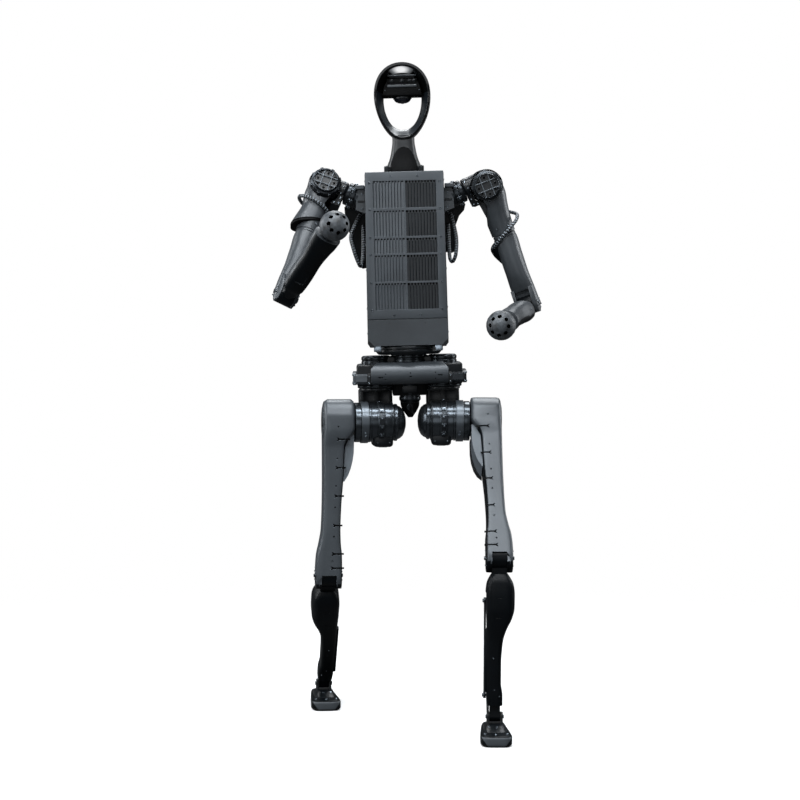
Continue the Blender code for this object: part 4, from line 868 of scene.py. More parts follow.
# painted highlight inside the top of the ring: a thin emissive crescent in place of a reflection
cres = []
n = 56
for i in range(n + 1):
    u = -1 + 2 * i / n
    t = radians(50) * u
    wide = max(0.02, (1 - abs(u) ** 1.6))
    f0, f1 = 0.62 - 0.10 * abs(u), 0.62 - 0.10 * abs(u) - 0.54 * wide
    row = []
    for f in (f0, f0 * 0.75 + f1 * 0.25, (f0 + f1) / 2, f0 * 0.25 + f1 * 0.75, f1):
        k = (f - 0.05) / (0.64 - 0.05)
        q = -0.14 + (-0.86 + 0.14) * max(0.0, min(1.1, k))
        row.append(head_point(t, f, q - 0.022))
    for f in (f1, (f0 + f1) / 2, f0):
        k = (f - 0.05) / (0.64 - 0.05)
        q = -0.14 + (-0.86 + 0.14) * max(0.0, min(1.1, k))
        row.append(head_point(t, f, q + 0.03))
    cres.append(row)
piece('brow_painted_highlight', 'torso', [(loft(cres), 'glow')], smooth=50)
bar = box((-0.060, -0.048, 0.6750), (0.060, 0.012, 0.7400), 0.004, 3)
bar = cut(bar, plate([egg(2 * pi * i / 72, 0.0505, 0.0740, 0.10, 0.661, 0.86) for i in range(72)], 0.2, 'Y', 0, 0), 'INTERSECT')
bar = cut(bar, joined(box((-0.0400, -0.1, 0.7080), (0.0400, -0.0435, 0.7215), 0)))
parts = [(rounded(bar, 0.0007, 2, 40), 'void'),
         (box((-0.0392, -0.0450, 0.7085), (0.0392, -0.0425, 0.7210), 0.0006, 2), 'void'),
         (box((-0.0385, -0.0510, 0.6975), (0.0385, -0.0440, 0.7048), 0.0020, 3), 'strip'),
         (box((-0.0375, -0.0500, 0.7262), (0.0375, -0.0440, 0.7306), 0.0014, 3), 'strip')]
for x in (-0.027, 0.0, 0.020, 0.0315):
    parts.append((lathe([(0, 0.0026), (0.0030, 0.0024), (0.0044, 0.0014), (0.0048, 0.0014), (0.0048, 0.0), (0, 0.0)], '-Y', 36, (x, -0.0446, 0.7148), 0), 'black'))
piece('camera_bar', 'torso', parts + [(bolts([((s * 0.0445, -0.048, 0.6905), (0, -1, 0)) for s in (1, -1)], 0.0016, 0.0008), 'bolt')], ['sensor_bar'])
piece('lidar_dome', 'torso', [
    (lathe([(0, 0.0), (0.0225, 0.0), (0.0232, -0.0015), (0.0232, -0.0045), (0.0222, -0.0060), (0.0205, -0.0098), (0.0165, -0.0132), (0.0105, -0.0156), (0.004, -0.0165), (0, -0.0165)],
           'Z', 80, (0, -0.020, 0.6747), 0.0004), 'lens'),
    (tubeband(0.0228, 0.0242, -0.0052, -0.0006, 'Z', 80, (0, -0.020, 0.6747), 0.0003), 'black'),
    (lathe([(0, 0.0), (0.0030, 0.0), (0.0030, -0.0010), (0, -0.0010)], 'Z', 24, (0, -0.020, 0.6583), 0.0002), 'strip')], ['lidar'])
NECK = [(0.4785, 0.0500, -0.012, 0.0480, 2.6), (0.485, 0.0485, -0.012, 0.0470, 2.6), (0.497, 0.0440, -0.012, 0.0440, 2.8),
        (0.515, 0.0370, -0.012, 0.0395, 3.0), (0.540, 0.0315, -0.013, 0.0350, 3.0), (0.560, 0.0290, -0.014, 0.0320, 3.0), (0.5790, 0.0290, -0.014, 0.0300, 3.0)]
nk = loft([ring(0, yc, z, hx, hy, e, 64) for z, hx, yc, hy, e in dense(NECK, 0.0035)])
nk = cut(nk, head_loft(0.0006, 72))
nk = cut(nk, box((-0.04, -0.1, 0.5745), (0.04, 0.1, 0.70), 0))
arch = []
for i in range(25):
    k = i / 24
    z = 0.4800 + 0.0640 * k
    hx, yc, hy, e = at(NECK, z)
    wide = 0.0350 * math.sqrt(max(0.0, 1 - k ** 1.6)) + 0.0014
    wide = min(wide, hx * 0.80)
    row = []
    for j in range(17):
        x = wide * (-1 + j / 8)
        y = yc - hy * (1 - min(0.999, abs(x) / hx) ** e) ** (1 / e)
        row.append(Vector((x, y - 0.0013, z)))
    for j in range(16, -1, -1):
        x = wide * (-1 + j / 8)
        y = yc - hy * (1 - min(0.999, abs(x) / hx) ** e) ** (1 / e)
        row.append(Vector((x, y + 0.0010, z)))
    arch.append(row)
parts = [(nk, 'neck'), (loft(arch), 'void')]
for s in (1, -1):
    parts.append((box((s * 0.0395, -0.052, 0.4787), (s * 0.0520, -0.020, 0.4940), 0.0020, 3), 'black'))
    parts.append((box((s * 0.0395, 0.004, 0.4787), (s * 0.0520, 0.028, 0.4940), 0.0020, 3), 'black'))
    parts.append((bolts([((s * 0.046, y, 0.4940), (0, 0, 1)) for y in (-0.043, -0.028, 0.011, 0.021)], 0.0020, 0.0018), 'bolt'))
piece('neck_column', 'torso', parts, ['neck'], smooth=45)


# -------------------------------------------------------------------------- arms
def disc_ribs(rad, z0, z1):
    out = []
    for d in (-0.0115, 0.0115):
        h = math.sqrt(rad * rad - d * d)
        out.append(box((d - 0.0011, -h, z0), (d + 0.0011, h, z1), 0.0003, 1))
        out.append(box((-h, d - 0.0011, z0), (h, d + 0.0011, z1 - 0.0001), 0.0003, 1))
    return out


for side, s in SIDES:
    tilt = T(s * SHOULDER[0], SHOULDER[1], SHOULDER[2]) @ R('Y', -s * TILT)
    ax = 'X' if s > 0 else '-X'
    drum = lathe([(0, -0.0010), (0.024, -0.0010), (0.026, -0.0015), (0.030, -0.004), (0.030, -0.0125), (0.0285, -0.0135), (0.0285, -0.0150), (0.0325, -0.0165), (0.0325, -0.0260),
                  (0.0295, -0.0275), (0.0295, -0.0300), (0.0310, -0.0310), (0.0310, -0.0350), (0.0290, -0.0360), (0.028, -0.075), (0, -0.075)], ax, 72, chamfer=0.0005)
    outside = slab(-0.2, 0.2, 0.0, 0.6, -0.0004, 0)
    drum = cut(joined((drum, tilt)), outside)
    brk = joined(plate([(s * 0.100, 0.3720), (s * 0.1290, 0.3830), (s * 0.1250, 0.4400), (s * 0.100, 0.4340)], 0.060, 'Y', -0.006, 0.0022))
    brk = cut(brk, outside)
    sx, cx = sin(radians(TILT)), cos(radians(TILT))
    parts = [(drum, 'motor_dark'), (brk, 'casing')]
    clamps = []
    for a in (-62, -22, 22, 62, 118, 158, 202, 242):
        clamps.append((box((s * -0.0275, -0.0045, 0.0285), (s * -0.0135, 0.0045, 0.0355), 0.0010, 2), tilt @ R('X', a)))
    parts.append((joined(*clamps), 'motor'))
    seats = [(tilt @ R('X', a) @ Vector((s * -0.0205, 0, 0.0355)), (tilt @ R('X', a)).to_3x3() @ Vector((0, 0, 1))) for a in (-62, -22, 22, 62, 118, 158, 202, 242)]
    parts.append((bolts(seats, 0.0019, 0.0018), 'bolt_bright'))
    parts.append((bolts([((s * 0.112, -0.036, z), (0, -1, 0)) for z in (0.386, 0.424)], 0.0026, 0.0022), 'bolt'))
    parts.append((box((s * 0.1035, -0.0375, 0.4020), (s * 0.1235, -0.0355, 0.4080), 0.0006, 1), 'black'))
    parts.append((box((s * 0.1045, -0.050, 0.4360), (s * 0.1290, -0.016, 0.4470), 0.0020, 2), 'casing'))
    piece('shoulder_motor_body_' + side, 'torso', parts, ['shoulder_pitch_motor_' + side], smooth=18)
    # moulded gusset behind the service loop
    if s > 0:
        gus = [(half_width(0.27) + 0.0008, 0.2700), (0.1200, 0.2670), (0.1318, 0.2720), (0.1310, 0.3000), (0.1325, 0.3400), (0.1430, 0.3660), (0.1560, 0.3800), (0.1600, 0.3960), (half_width(0.40) + 0.0008, 0.3960)]
    else:
        gus = [(-half_width(0.23) - 0.0008, 0.2330), (-0.1180, 0.2310), (-0.1265, 0.2434), (-0.1370, 0.2877), (-0.1475, 0.3217), (-0.1600, 0.3450), (-0.1620, 0.3960), (-half_width(0.40) - 0.0008, 0.3960)]
    piece('shoulder_gusset_' + side, 'torso', [(plate(gus, 0.020, 'Y', 0.056, 0.0020), 'shank'),
          (bolts([((s * x, 0.046, z), (0, -1, 0)) for x, z in ((0.112, 0.275), (0.114, 0.330), (0.128, 0.366), (0.113, 0.376))], 0.0018, 0.0016), 'bolt')])

    roll = (s * ROLL_OFF[0], ROLL_OFF[1], ROLL_OFF[2])
    lnk = lathe([(0, 0.0440), (0.0290, 0.0440), (0.0330, 0.0415), (0.0330, 0.0340), (0.0318, 0.0330), (0.0318, 0.0300), (0.0330, 0.0290), (0.0330, -0.0300), (0, -0.0300)], 'Y', 72, roll, 0.0005)
    arm_ = lathe([(0, 0.0385), (0.0262, 0.0385), (0.0262, 0.0170), (0.0270, 0.0160), (0.0270, 0.0040), (0.0250, 0.0006), (0, 0.0006)], ax, 64, chamfer=0.0005)
    piece('shoulder_link_body_' + side, 'shoulder_' + side, [
        (lnk, 'motor_dark'), (arm_, 'black'),
        (plate([(s * u, v) for u, v in ((0.0012, -0.0200), (0.0012, -0.0500), (0.0060, -0.0530), (0.0250, -0.0540), (0.0235, -0.0475), (0.0160, -0.0380), (0.0125, -0.0280), (0.0125, -0.0200))], 0.052, 'Y', 0.008, 0.0030), 'shank'),
        (bolts([((s * x, -0.018, z), (0, -1, 0)) for x, z in ((0.006, -0.030), (0.006, -0.045), (0.0165, -0.048))], 0.0019, 0.0018), 'bolt_bright'),
        (bolts([((s * 0.010, 0.0270 * cos(radians(a)), 0.0270 * sin(radians(a))), (0, cos(radians(a)), sin(radians(a)))) for a in range(20, 380, 40)], 0.0017, 0.0014), 'bolt_bright'),
        (bolts([((roll[0] + 0.024 * cos(radians(a)), 0.0440 + roll[1], roll[2] + 0.024 * sin(radians(a))), (0, 1, 0)) for a in range(0, 360, 45)], 0.0021, 0.0016), 'bolt')],
        ['shoulder_link_' + side], smooth=18)

    ub = 'upper_arm_' + side
    cap = lathe([(0, 0.0560), (0.0298, 0.0560), (0.0298, 0.0620), (0.0314, 0.0620), (0.0325, 0.0600), (0.0335, 0.0545), (0.0375, 0.0535), (0.0385, 0.0515), (0.0385, 0.0365), (0, 0.0365)],
                '-Y', 80, chamfer=0.0004)
    ribs = joined((joined(*disc_ribs(0.0300, 0.0560, 0.0608)), AX['-Y']))
    dots = [((x, -0.0560, z), (0, -1, 0)) for x in (-0.0185, 0.0185) for z in (-0.0150, 0.0150)] + [((x, -0.0560, 0), (0, -1, 0)) for x in (-0.022, 0.022)] \
        + [((0, -0.0560, z), (0, -1, 0)) for z in (-0.022, 0.022)]
    nubs = joined(*[(box((0.0370, -0.0525, -0.0040), (0.0412, -0.0400, 0.0040), 0.0012, 2), R('Y', a + 12)) for a in range(0, 360, 45)])
    piece('shoulder_disc_' + side, ub, [(cap, 'motor_dark'), (cyl(0.0296, 0.0530, 0.0566, '-Y', 72), 'panel_dark'), (ribs, 'casing_light'), (bolts(dots, 0.0030, 0.0030), 'void'), (nubs, 'motor_dark')],
          ['shoulder_cap_' + side], smooth=18)
    rows = [(0.0, 0.000, 0.042, 0.0460, 2.4), (-0.030, 0.003, 0.0405, 0.0440, 2.4), (-0.060, 0.002, 0.0360, 0.0405, 2.3),
            (-0.085, 0.001, 0.0335, 0.0370, 2.1), (-0.110, 0.000, 0.0325, 0.0345, 2.0), (-0.1335, 0.000, 0.0318, 0.0330, 2.0)]
    arm_rows = rows
    cas = loft([ring(cx_, 0.002, z, hx, hy, e, 56, s) for z, cx_, hx, hy, e in dense(rows, 0.004)])
    cas = cut(cas, cyl(0.0435, -0.0355, 0.0480, 'Y', 80, bevel=0), 'UNION')
    cas = cut(cas, cyl(0.0345, -0.060, 0.0455, 'Y', 72, bevel=0))
    cas = cut(cas, cyl(0.0398, -0.2, -0.0358, 'Y', 80, bevel=0))
    pie = [(0.0, 0.0)] + [(s * 0.12 * cos(radians(-4 + 256 * i / 40)), 0.12 * sin(radians(-4 + 256 * i / 40))) for i in range(41)]
    cas = cut(cas, plate(pie, 0.0600, 'Y', -0.0055, 0))
    cas = cut(cas, joined(tubeband(0.0316, 0.06, -0.1265, -0.1250, bevel=0.0001)))
    seats = [((s * -0.0140, -0.0298, -0.1160), (s * -0.35, -1, 0)), ((s * 0.0160, -0.0290, -0.1160), (s * 0.45, -1, 0)),
             ((s * 0.0290, 0.010, -0.1160), (1 * s, 0.2, 0)), ((s * -0.0290, 0.010, -0.1160), (-1 * s, 0.2, 0)), ((0.0, 0.0330, -0.1160), (0, 1, 0))]
    extra = []
    if s < 0:
        def sheared(rows_):
            out = []
            for z, cx_, hx, hy, k in rows_:
                out.append([Vector((p.x, p.y, p.z - k * (-p.x))) for p in ring(cx_, 0.001, z, hx, hy, 2.4, 64, s)])
            return loft(out)
        extra.append((sheared(dense([(-0.0640, 0.0030, 0.0352, 0.0398, 0.02), (-0.0760, 0.0045, 0.0362, 0.0398, 0.12), (-0.0900, 0.0070, 0.0385, 0.0400, 0.28), (-0.1040, 0.0095, 0.0405, 0.0405, 0.40)], 0.003)), 'casing'))
        extra.append((sheared([(-0.1042, 0.0090, 0.0385, 0.0390, 0.40), (-0.1110, 0.0090, 0.0385, 0.0390, 0.42), (-0.1120, 0.0085, 0.0360, 0.0360, 0.42)]), 'void'))
    piece('upper_arm_housing_' + side, ub, [(rounded(cas, 0.0009, 2, 48), 'casing'), (bolts(seats, 0.0022, 0.0012), 'bolt')] + extra, ['upper_arm_casing_' + side], smooth=40)
    pts = []
    guide = [(-75, -0.076, 0.0040), (-35, -0.086, 0.0080), (0, -0.100, 0.0175), (30, -0.112, 0.0150), (60, -0.124, 0.0075), (90, -0.134, 0.0055), (130, -0.149, 0.0060), (170, -0.160, 0.0075), (200, -0.166, 0.0035)] if s > 0 else \
            [(-75, -0.042, 0.0040), (-35, -0.038, 0.0085), (0, -0.041, 0.0090), (30, -0.047, 0.0080), (60, -0.054, 0.0072), (90, -0.061, 0.0066), (130, -0.068, 0.0064), (170, -0.074, 0.0066), (200, -0.078, 0.0035)]
    for i in range(91):
        deg = -75 + 275 * i / 90
        z, lift = at(guide, deg)
        cx_, hx, hy = at(arm_rows, max(z, -0.1335))[:3]
        if z > -0.0436:
            lift += 0.0020
        pts.append(Vector((s * (cx_ + (hx + lift) * cos(radians(deg))), 0.002 - (hy + lift) * sin(radians(deg)), z)))
    wrapped('arm_cable_wrap_' + side, ub, pts, 0.0044, ['arm_cable_' + side], 0.0078, 0.0007, 0.30)

    lb = 'lower_arm_' + side
    rows = [(-0.0006, 0.0295, -0.0310, 0.0310, 2.0), (-0.020, 0.0308, -0.0335, 0.0320, 2.2), (-0.060, 0.0290, -0.0375, 0.0270, 2.4),
            (-0.105, 0.0290, -0.0395, 0.0185, 2.4), (-0.135, 0.0305, -0.0365, 0.0110, 2.5), (-0.1560, 0.0315, -0.0325, 0.0075, 2.6)]
    tail = [(-0.1500, 0.0321, -0.0420, 0.0085, 2.6), (-0.1800, 0.0325, -0.0440, 0.0085, 2.6), (-0.1980, 0.0320, -0.0446, 0.0080, 2.6),
            (-0.2110, 0.0302, -0.0420, 0.0050, 2.5), (-0.2245, 0.0262, -0.0340, -0.0030, 2.4)]
    low = loft([ring(0, (f + b_) / 2, z, hx, (b_ - f) / 2, e, 56, s) for z, hx, f, b_, e in dense(rows, 0.004)])
    # the cheeks of the elbow fork, rounded like the casing
    fork = loft([ring(0, (f + b_) / 2, z, hx, (b_ - f) / 2, e, 56, s) for z, hx, f, b_, e in dense(tail, 0.003)])
    cheek = [(0.0255 * cos(pi + pi * i / 28), 0.0255 * sin(pi + pi * i / 28)) for i in range(29)] + [(0.0235, 0.0480), (-0.0120, 0.0480)]
    for x in (-1, 1):
        lo, hi = sorted((x * 0.0206, x * 0.0400))
        side_ = cut(fork.copy(), joined((plate(cheek, hi - lo, 'X', (lo + hi) / 2, 0), T(*ELBOW_OFF))), 'INTERSECT')
        low = cut(low, side_, 'UNION')
    low = cut(low, joined((box((-0.0206, -0.0010, 0.0200), (0.0206, 0.0225, 0.0470), 0), T(*ELBOW_OFF))), 'UNION')
    low = cut(low, box((-0.0206, -0.0250, -0.1800), (0.0206, 0.0060, -0.1500), 0), 'UNION')
    low = cut(low, joined((cyl(0.0262, -0.0205, 0.0205, 'X', 80, bevel=0), T(*ELBOW_OFF))))
    low = cut(low, joined(tubeband(0.0290, 0.06, -0.0085, -0.0070, bevel=0.0001)))
    dark = [(tubeband(0.0270, 0.0303, -0.0190, -0.0105, 'Z', 72, (0, -0.001, 0), 0.0006), 'black')]
    lobe = loft([ring(cx_, 0.000, z, hx, hy, 2.2, 48, s) for z, cx_, hx, hy in dense([(-0.0110, -0.0160, 0.0120, 0.018), (-0.019, -0.0180, 0.0240, 0.025), (-0.031, -0.0190, 0.0298, 0.0275), (-0.046, -0.0175, 0.0285, 0.027),
                 (-0.062, -0.0150, 0.0235, 0.0245), (-0.078, -0.0120, 0.0175, 0.020), (-0.092, -0.0100, 0.0110, 0.014)], 0.003)])
    pins = [((x * 0.0296, ELBOW_OFF[1] + 0.0150 * cos(radians(a)), ELBOW_OFF[2] + 0.0150 * sin(radians(a))), (x, 0, 0)) for x in (-1, 1) for a in range(30, 390, 60)]
    piece('lower_arm_housing_' + side, lb, [(rounded(low, 0.0009, 2, 48), 'casing'), (lobe, 'shank'),
          (joined(*[(cyl(0.0080, 0, 0.0022, 'Z', 40), T(x * 0.0312, ELBOW_OFF[1], ELBOW_OFF[2]) @ AX['X' if x > 0 else '-X']) for x in (-1, 1)]), 'motor'),
          (bolts(pins, 0.0017, 0.0024), 'bolt')] + dark, ['lower_arm_casing_' + side], smooth=40)

    fb = 'forearm_' + side
    sec = [(-0.0100, -0.006, 0.0198, 0.0185, 2.6), (-0.0310, -0.0105, 0.0198, 0.0205, 2.8), (-0.045, -0.0115, 0.0270, 0.0245, 2.8), (-0.090, -0.0090, 0.0290, 0.0300, 2.8),
           (-0.140, -0.0105, 0.0275, 0.0280, 2.6), (-0.180, -0.0120, 0.0310, 0.0278, 2.5), (-0.205, -0.0150, 0.0345, 0.0290, 2.3), (-0.2250, -0.0165, 0.0352, 0.0295, 2.2)]
    rings = []
    for y, zc, hx, hz, e in dense(sec, 0.004):
        rings.append([Vector((p.x, y, p.y)) for p in ring(0, zc, 0, hx, hz, e, 56)])
    fore = cut(loft(rings), cyl(0.0255, -0.0200, 0.0200, 'X', 80, bevel=0), 'UNION')
    fore = cut(fore, joined((lathe([(0, -0.0385), (0.015, -0.0354), (0.027, -0.0274), (0.0354, -0.015), (0.0385, 0), (0.0354, 0.015), (0.027, 0.0274), (0.015, 0.0354), (0, 0.0385)], 'Z', 96, chamfer=0), T(*BALL_OFF))))
    fore = cut(fore, joined(box((-0.012, -0.075, -0.060), (0.012, -0.120, -0.0375), 0)))
    seats = [((x * 0.0282, -0.075, -0.010), (x, 0, 0)) for x in (-1, 1)] + [((x * 0.0258, -0.140, -0.012), (x, 0, 0)) for x in (-1, 1)]
    pass
    # the underside and the elbow end of the forearm take the near-black shank coating: painted shade where the forearm
    # turns away from the lamps
    piece('forearm_housing_' + side, fb, [(rounded(fore, 0.0009, 2, 48), 'casing'), (bolts(seats, 0.0024, 0.0012), 'bolt'),
          (cyl(0.0120, 0.2150, 0.2300, '-Y', 40, (0, 0, -0.0175)), 'black')],
          ['forearm_casing_' + side], smooth=40, paint=('shank', lambda c, n_: (n_.z < -0.30 and c.y < -0.030) or c.y > -0.046))
    bm = bmesh.new()
    bmesh.ops.create_icosphere(bm, subdivisions=3, radius=BALL_R * 1.004)
    bevel_sharp(bm, 0.0006, 1, 3)
    ball = to_mesh(bm)
    look = B[fb].to_3x3().inverted() @ Vector((-0.20, -0.975, -0.03) if s > 0 else (0.30, -0.94, 0.17))
    turn = look.to_track_quat('Z', 'Y').to_matrix().to_4x4()
    drills = []
    for polar, off in ((39, 0.0), (141, 22.5)):
        for i in range(8):
            drills.append((cyl(0.0054, 0.0285, 0.050, 'Z', 32, bevel=0), turn @ R('Z', off + 23 + 45 * i) @ R('Y', polar)))
    ball = cut(ball, joined(*drills))
    # the inner faces of the drilled holes take the near-black backing: painted shade for the depth of the holes
    piece('arm_ball_' + side, fb, [(ball, 'ball', T(*BALL_OFF))],
          ['arm_end_ball_' + side], smooth=20, paint=('void', lambda c, n_: (c - Vector(BALL_OFF)).length < BALL_R - 0.0022))

# -------------------------------------------------------------------------- legs
THIGH_ROWS = [(0.0610, -0.040, 0.021, 0.0100, 0.0100), (0.0590, -0.044, 0.027, 0.0200, 0.0200),
              (0.0520, -0.0465, 0.0310, 0.0330, 0.0330), (0.0370, -0.0480, 0.0330, 0.0450, 0.0450),
              (0.0150, -0.0480, 0.0335, 0.0540, 0.0540), (-0.0150, -0.0480, 0.0335, 0.0550, 0.0550),
              (-0.0330, -0.0400, 0.0335, 0.0530, 0.0530), (-0.0480, -0.0270, 0.0335, 0.0500, 0.0500),
              (-0.0620, -0.0225, 0.0335, 0.0470, 0.0480), (-0.1400, -0.0190, 0.0335, 0.0420, 0.0430),
              (-0.2200, -0.0130, 0.0345, 0.0390, 0.0400), (-0.2800, -0.0110, 0.0370, 0.0380, 0.0390),
              (-0.3150, -0.0120, 0.0430, 0.0370, 0.0360), (-0.3450, -0.0150, 0.0500, 0.0365, 0.0290),
              (-0.3700, -0.0155, 0.0525, 0.0360, 0.0230), (-0.3850, -0.0155, 0.0530, 0.0355, 0.0270),
              (-0.4000, -0.0155, 0.0532, 0.0350, 0.0340), (-0.4150, -0.0155, 0.0530, 0.0320, 0.0300),
              (-0.4270, -0.0155, 0.0528, 0.0240, 0.0230), (-0.4340, -0.0150, 0.0522, 0.0130, 0.0130)]
SHANK_ROWS = [(-0.0380, 0.0000, 0.0400, 0.0240, 0.0190), (-0.0480, -0.0060, 0.0470, 0.0320, 0.0250),
              (-0.0650, -0.0125, 0.0550, 0.0380, 0.0345), (-0.0900, -0.0145, 0.0580, 0.0400, 0.0440),
              (-0.1250, -0.0145, 0.0575, 0.0390, 0.0480), (-0.1500, -0.0140, 0.0515, 0.0360, 0.0470),
              (-0.1800, -0.0135, 0.0375, 0.0320, 0.0420), (-0.2100, -0.0135, 0.0290, 0.0290, 0.0370),
              (-0.2700, -0.0135, 0.0250, 0.0260, 0.0300), (-0.3150, -0.0135, 0.0250, 0.0240, 0.0260),
              (-0.3450, -0.0130, 0.0290, 0.0230, 0.0230), (-0.3700, -0.0110, 0.0290, 0.0215, 0.0200)]


def leg_rings(rows, s, e, step, count, grow=0.0):
    out = []
    for z, xi, xo, hf, hk in dense(rows, step):
        cx_, hx = (xi + xo) / 2, (xo - xi) / 2 + grow
        pts = []
        for i in range(count):
            t = 2 * pi * (i + 0.5) / count
            c, q = cos(t), sin(t)
            hy = (hk if q > 0 else hf) + grow
            pts.append(Vector((s * (cx_ + hx * math.copysign(abs(c) ** e, c)), hy * math.copysign(abs(q) ** e, q), z)))
        out.append(pts)
    return out


def lever(r0, r1, length):
    return [(r0 * cos(pi + pi * i / 28), r0 * sin(pi + pi * i / 28)) for i in range(29)] + \
           [(r1 * cos(pi * i / 24), length + r1 * sin(pi * i / 24)) for i in range(25)]


NOTCH = [(-0.0436, -0.0020), (-0.1175, 0.0015), (-0.1914, 0.0040), (-0.2680, 0.0075), (-0.3420, 0.0105), (-0.3790, 0.0125)]
HOLE = [(-0.0106, -0.0034), (-0.0937, -0.0010), (-0.1650, 0.0020), (-0.2204, 0.0040), (-0.2970, 0.0070), (-0.3604, 0.0110)]
for side, s in SIDES:
    ax = 'X' if s > 0 else '-X'
    hbk = 'hip_' + side
    br = box((-0.044, 0.0165, -0.030), (0.044, 0.0560, 0.086), 0.005, 3)
    br = cut(br, cyl(0.0455, 0.0835, 0.0884, 'Z', 80, bevel=0), 'UNION')
    br = cut(br, cyl(0.0452, 0.0, 0.2, 'Y', 80, (0, 0.034, 0), bevel=0))
    br = cut(br, joined(box((-0.034, 0.0100, 0.052), (-0.006, 0.0200, 0.078), 0), box((0.006, 0.0100, 0.052), (0.034, 0.0200, 0.078), 0)))
    piece('hip_bracket_body_' + side, hbk, [(rounded(br, 0.0008, 2, 40), 'black'),
          (bolts([((x, 0.0165, z), (0, -1, 0)) for x in (-0.039, 0.0, 0.039) for z in (0.046, 0.082)], 0.0021, 0.0018), 'bolt'),
          (bolts([((0.039 * cos(radians(a)), 0.039 * sin(radians(a)), 0.0884), (0, 0, 1)) for a in range(0, 360, 30)], 0.0016, 0.0006), 'bolt')],
          ['hip_bracket_' + side])
    piece('hip_roll_motor_body_' + side, hbk, [
        (lathe([(0, 0.118), (0.014, 0.118), (0.016, 0.115), (0.030, 0.115), (0.031, 0.1138), (0.033, 0.1138), (0.034, 0.115), (0.038, 0.115), (0.0430, 0.110), (0.0445, 0.106), (0.0445, 0.098),
                (0.0428, 0.097), (0.0428, 0.0935), (0.0445, 0.0925), (0.0445, 0.076), (0.0432, 0.0752), (0.0432, 0.0738), (0.0445, 0.073), (0.0445, 0.0343), (0, 0.0343)], 'Y', 96, chamfer=0.0005), 'motor'),
        (bolts([((0.0225 * cos(radians(a)), 0.115, 0.0225 * sin(radians(a))), (0, 1, 0)) for a in range(0, 360, 45)], 0.0022, 0.0018), 'bolt'),
        (bolts([((0.0376 * cos(radians(a)), 0.1140, 0.0376 * sin(radians(a))), (0.3 * cos(radians(a)), 1, 0.3 * sin(radians(a)))) for a in range(22, 382, 45)], 0.0018, 0.0014), 'bolt_bright')],
        ['hip_roll_motor_' + side], smooth=18)

    cb = 'hip_carrier_' + side
    prof = [(0, 0.0668), (0.0500, 0.0668), (0.0520, 0.0650), (0.0520, 0.0520), (0.0505, 0.0515), (0.0505, 0.0290), (0.0520, 0.0285), (0.0520, 0.0250), (0.0500, 0.0244), (0.0500, 0.0228), (0.0515, 0.0222),
            (0.0515, 0.0092), (0.0500, 0.0086), (0.0500, 0.0070), (0.0512, 0.0064), (0.0512, -0.0100), (0.0505, -0.0104), (0.0505, -0.0120), (0.0515, -0.0124), (0.0515, -0.0350), (0.0500, -0.0358),
            (0.0470, -0.0372), (0.0470, -0.0392), (0.0488, -0.0398), (0.0488, -0.0455), (0.0460, -0.0468), (0.0445, -0.0480), (0.0420, -0.0540), (0.0360, -0.0610), (0.0270, -0.0655), (0.0150, -0.0688), (0, -0.0700)]
    parts = [(lathe(prof, ax, 112, chamfer=0.0004), 'motor')]
    parts.append((tubeband(0.0508, 0.0545, *sorted((s * 0.0305, s * 0.0500)), 'X', 112, bevel=0.0009), 'band'))
    parts.append((tubeband(0.0500, 0.0540, *sorted((s * -0.0085, s * 0.0050)), 'X', 112, bevel=0.0007), 'motor_dark'))
    parts.append((tubeband(0.0500, 0.0528, *sorted((s * -0.0345, s * -0.0300)), 'X', 112, bevel=0.0005), 'motor_dark'))
    lugs, seats = [], []
    for a in (-38, -8, 22, 52, 96, 140, -80, -118):
        m = R('X', 180 - a)
        lugs.append((box((s * -0.0075, -0.0046, 0.0520), (s * 0.0042, 0.0046, 0.0572), 0.0011, 2), m))
        q = R('X', 180 - a)
        seats.append((q @ Vector((s * -0.0016, 0, 0.0572)), q.to_3x3() @ Vector((0, 0, 1))))
    front = [((s * -0.0016), a) for a in (56, 74, 92, 110, 128)]
    lugs = [(box((s * -0.0075, -0.0046, 0.0520), (s * 0.0042, 0.0046, 0.0562), 0.0011, 2), R('X', a)) for a in (52, 76, 100, 124, 205, 300, 340)]
    seats = [(R('X', a) @ Vector((s * -0.0016, 0, 0.0562)), R('X', a).to_3x3() @ Vector((0, 0, 1))) for a in (52, 76, 100, 124, 205, 300, 340)]
    parts.append((joined(*lugs), 'motor'))
    parts.append((bolts(seats, 0.0022, 0.0018), 'bolt_bright'))
    parts.append((bolts([(R('X', a) @ Vector((s * 0.0400, 0, 0.0545)), R('X', a).to_3x3() @ Vector((0, 0, 1))) for a in (118, 128)], 0.0022, 0.0016), 'bolt_bright'))
    parts.append((bolts([((s * -0.0398, 0.0478 * cos(radians(a)) * 0.93, 0.0478 * sin(radians(a)) * 0.93), (-s, 0, 0)) for a in range(0, 360, 30)], 0.0018, 0.0075), 'motor_dark'))
    parts.append((cyl(0.0400, 0.0300, 0.0555, 'Y', 72), 'motor_dark'))
    crad = box((s * -0.034, -0.036, -0.063), (s * 0.018, 0.036, -0.030), 0.009, 3)
    crad2 = box((s * -0.022, -0.024, -0.0645), (s * 0.006, 0.024, -0.050), 0.004, 2)
    parts += [(crad, 'black'), (crad2, 'black'), (bolts([((s * x, -0.0362, -0.051), (0, -1, 0)) for x in (-0.024, 0.008)], 0.0021, 0.0018), 'bolt')]
    piece('hip_pitch_motor_body_' + side, cb, parts, ['hip_pitch_motor_' + side], smooth=18)

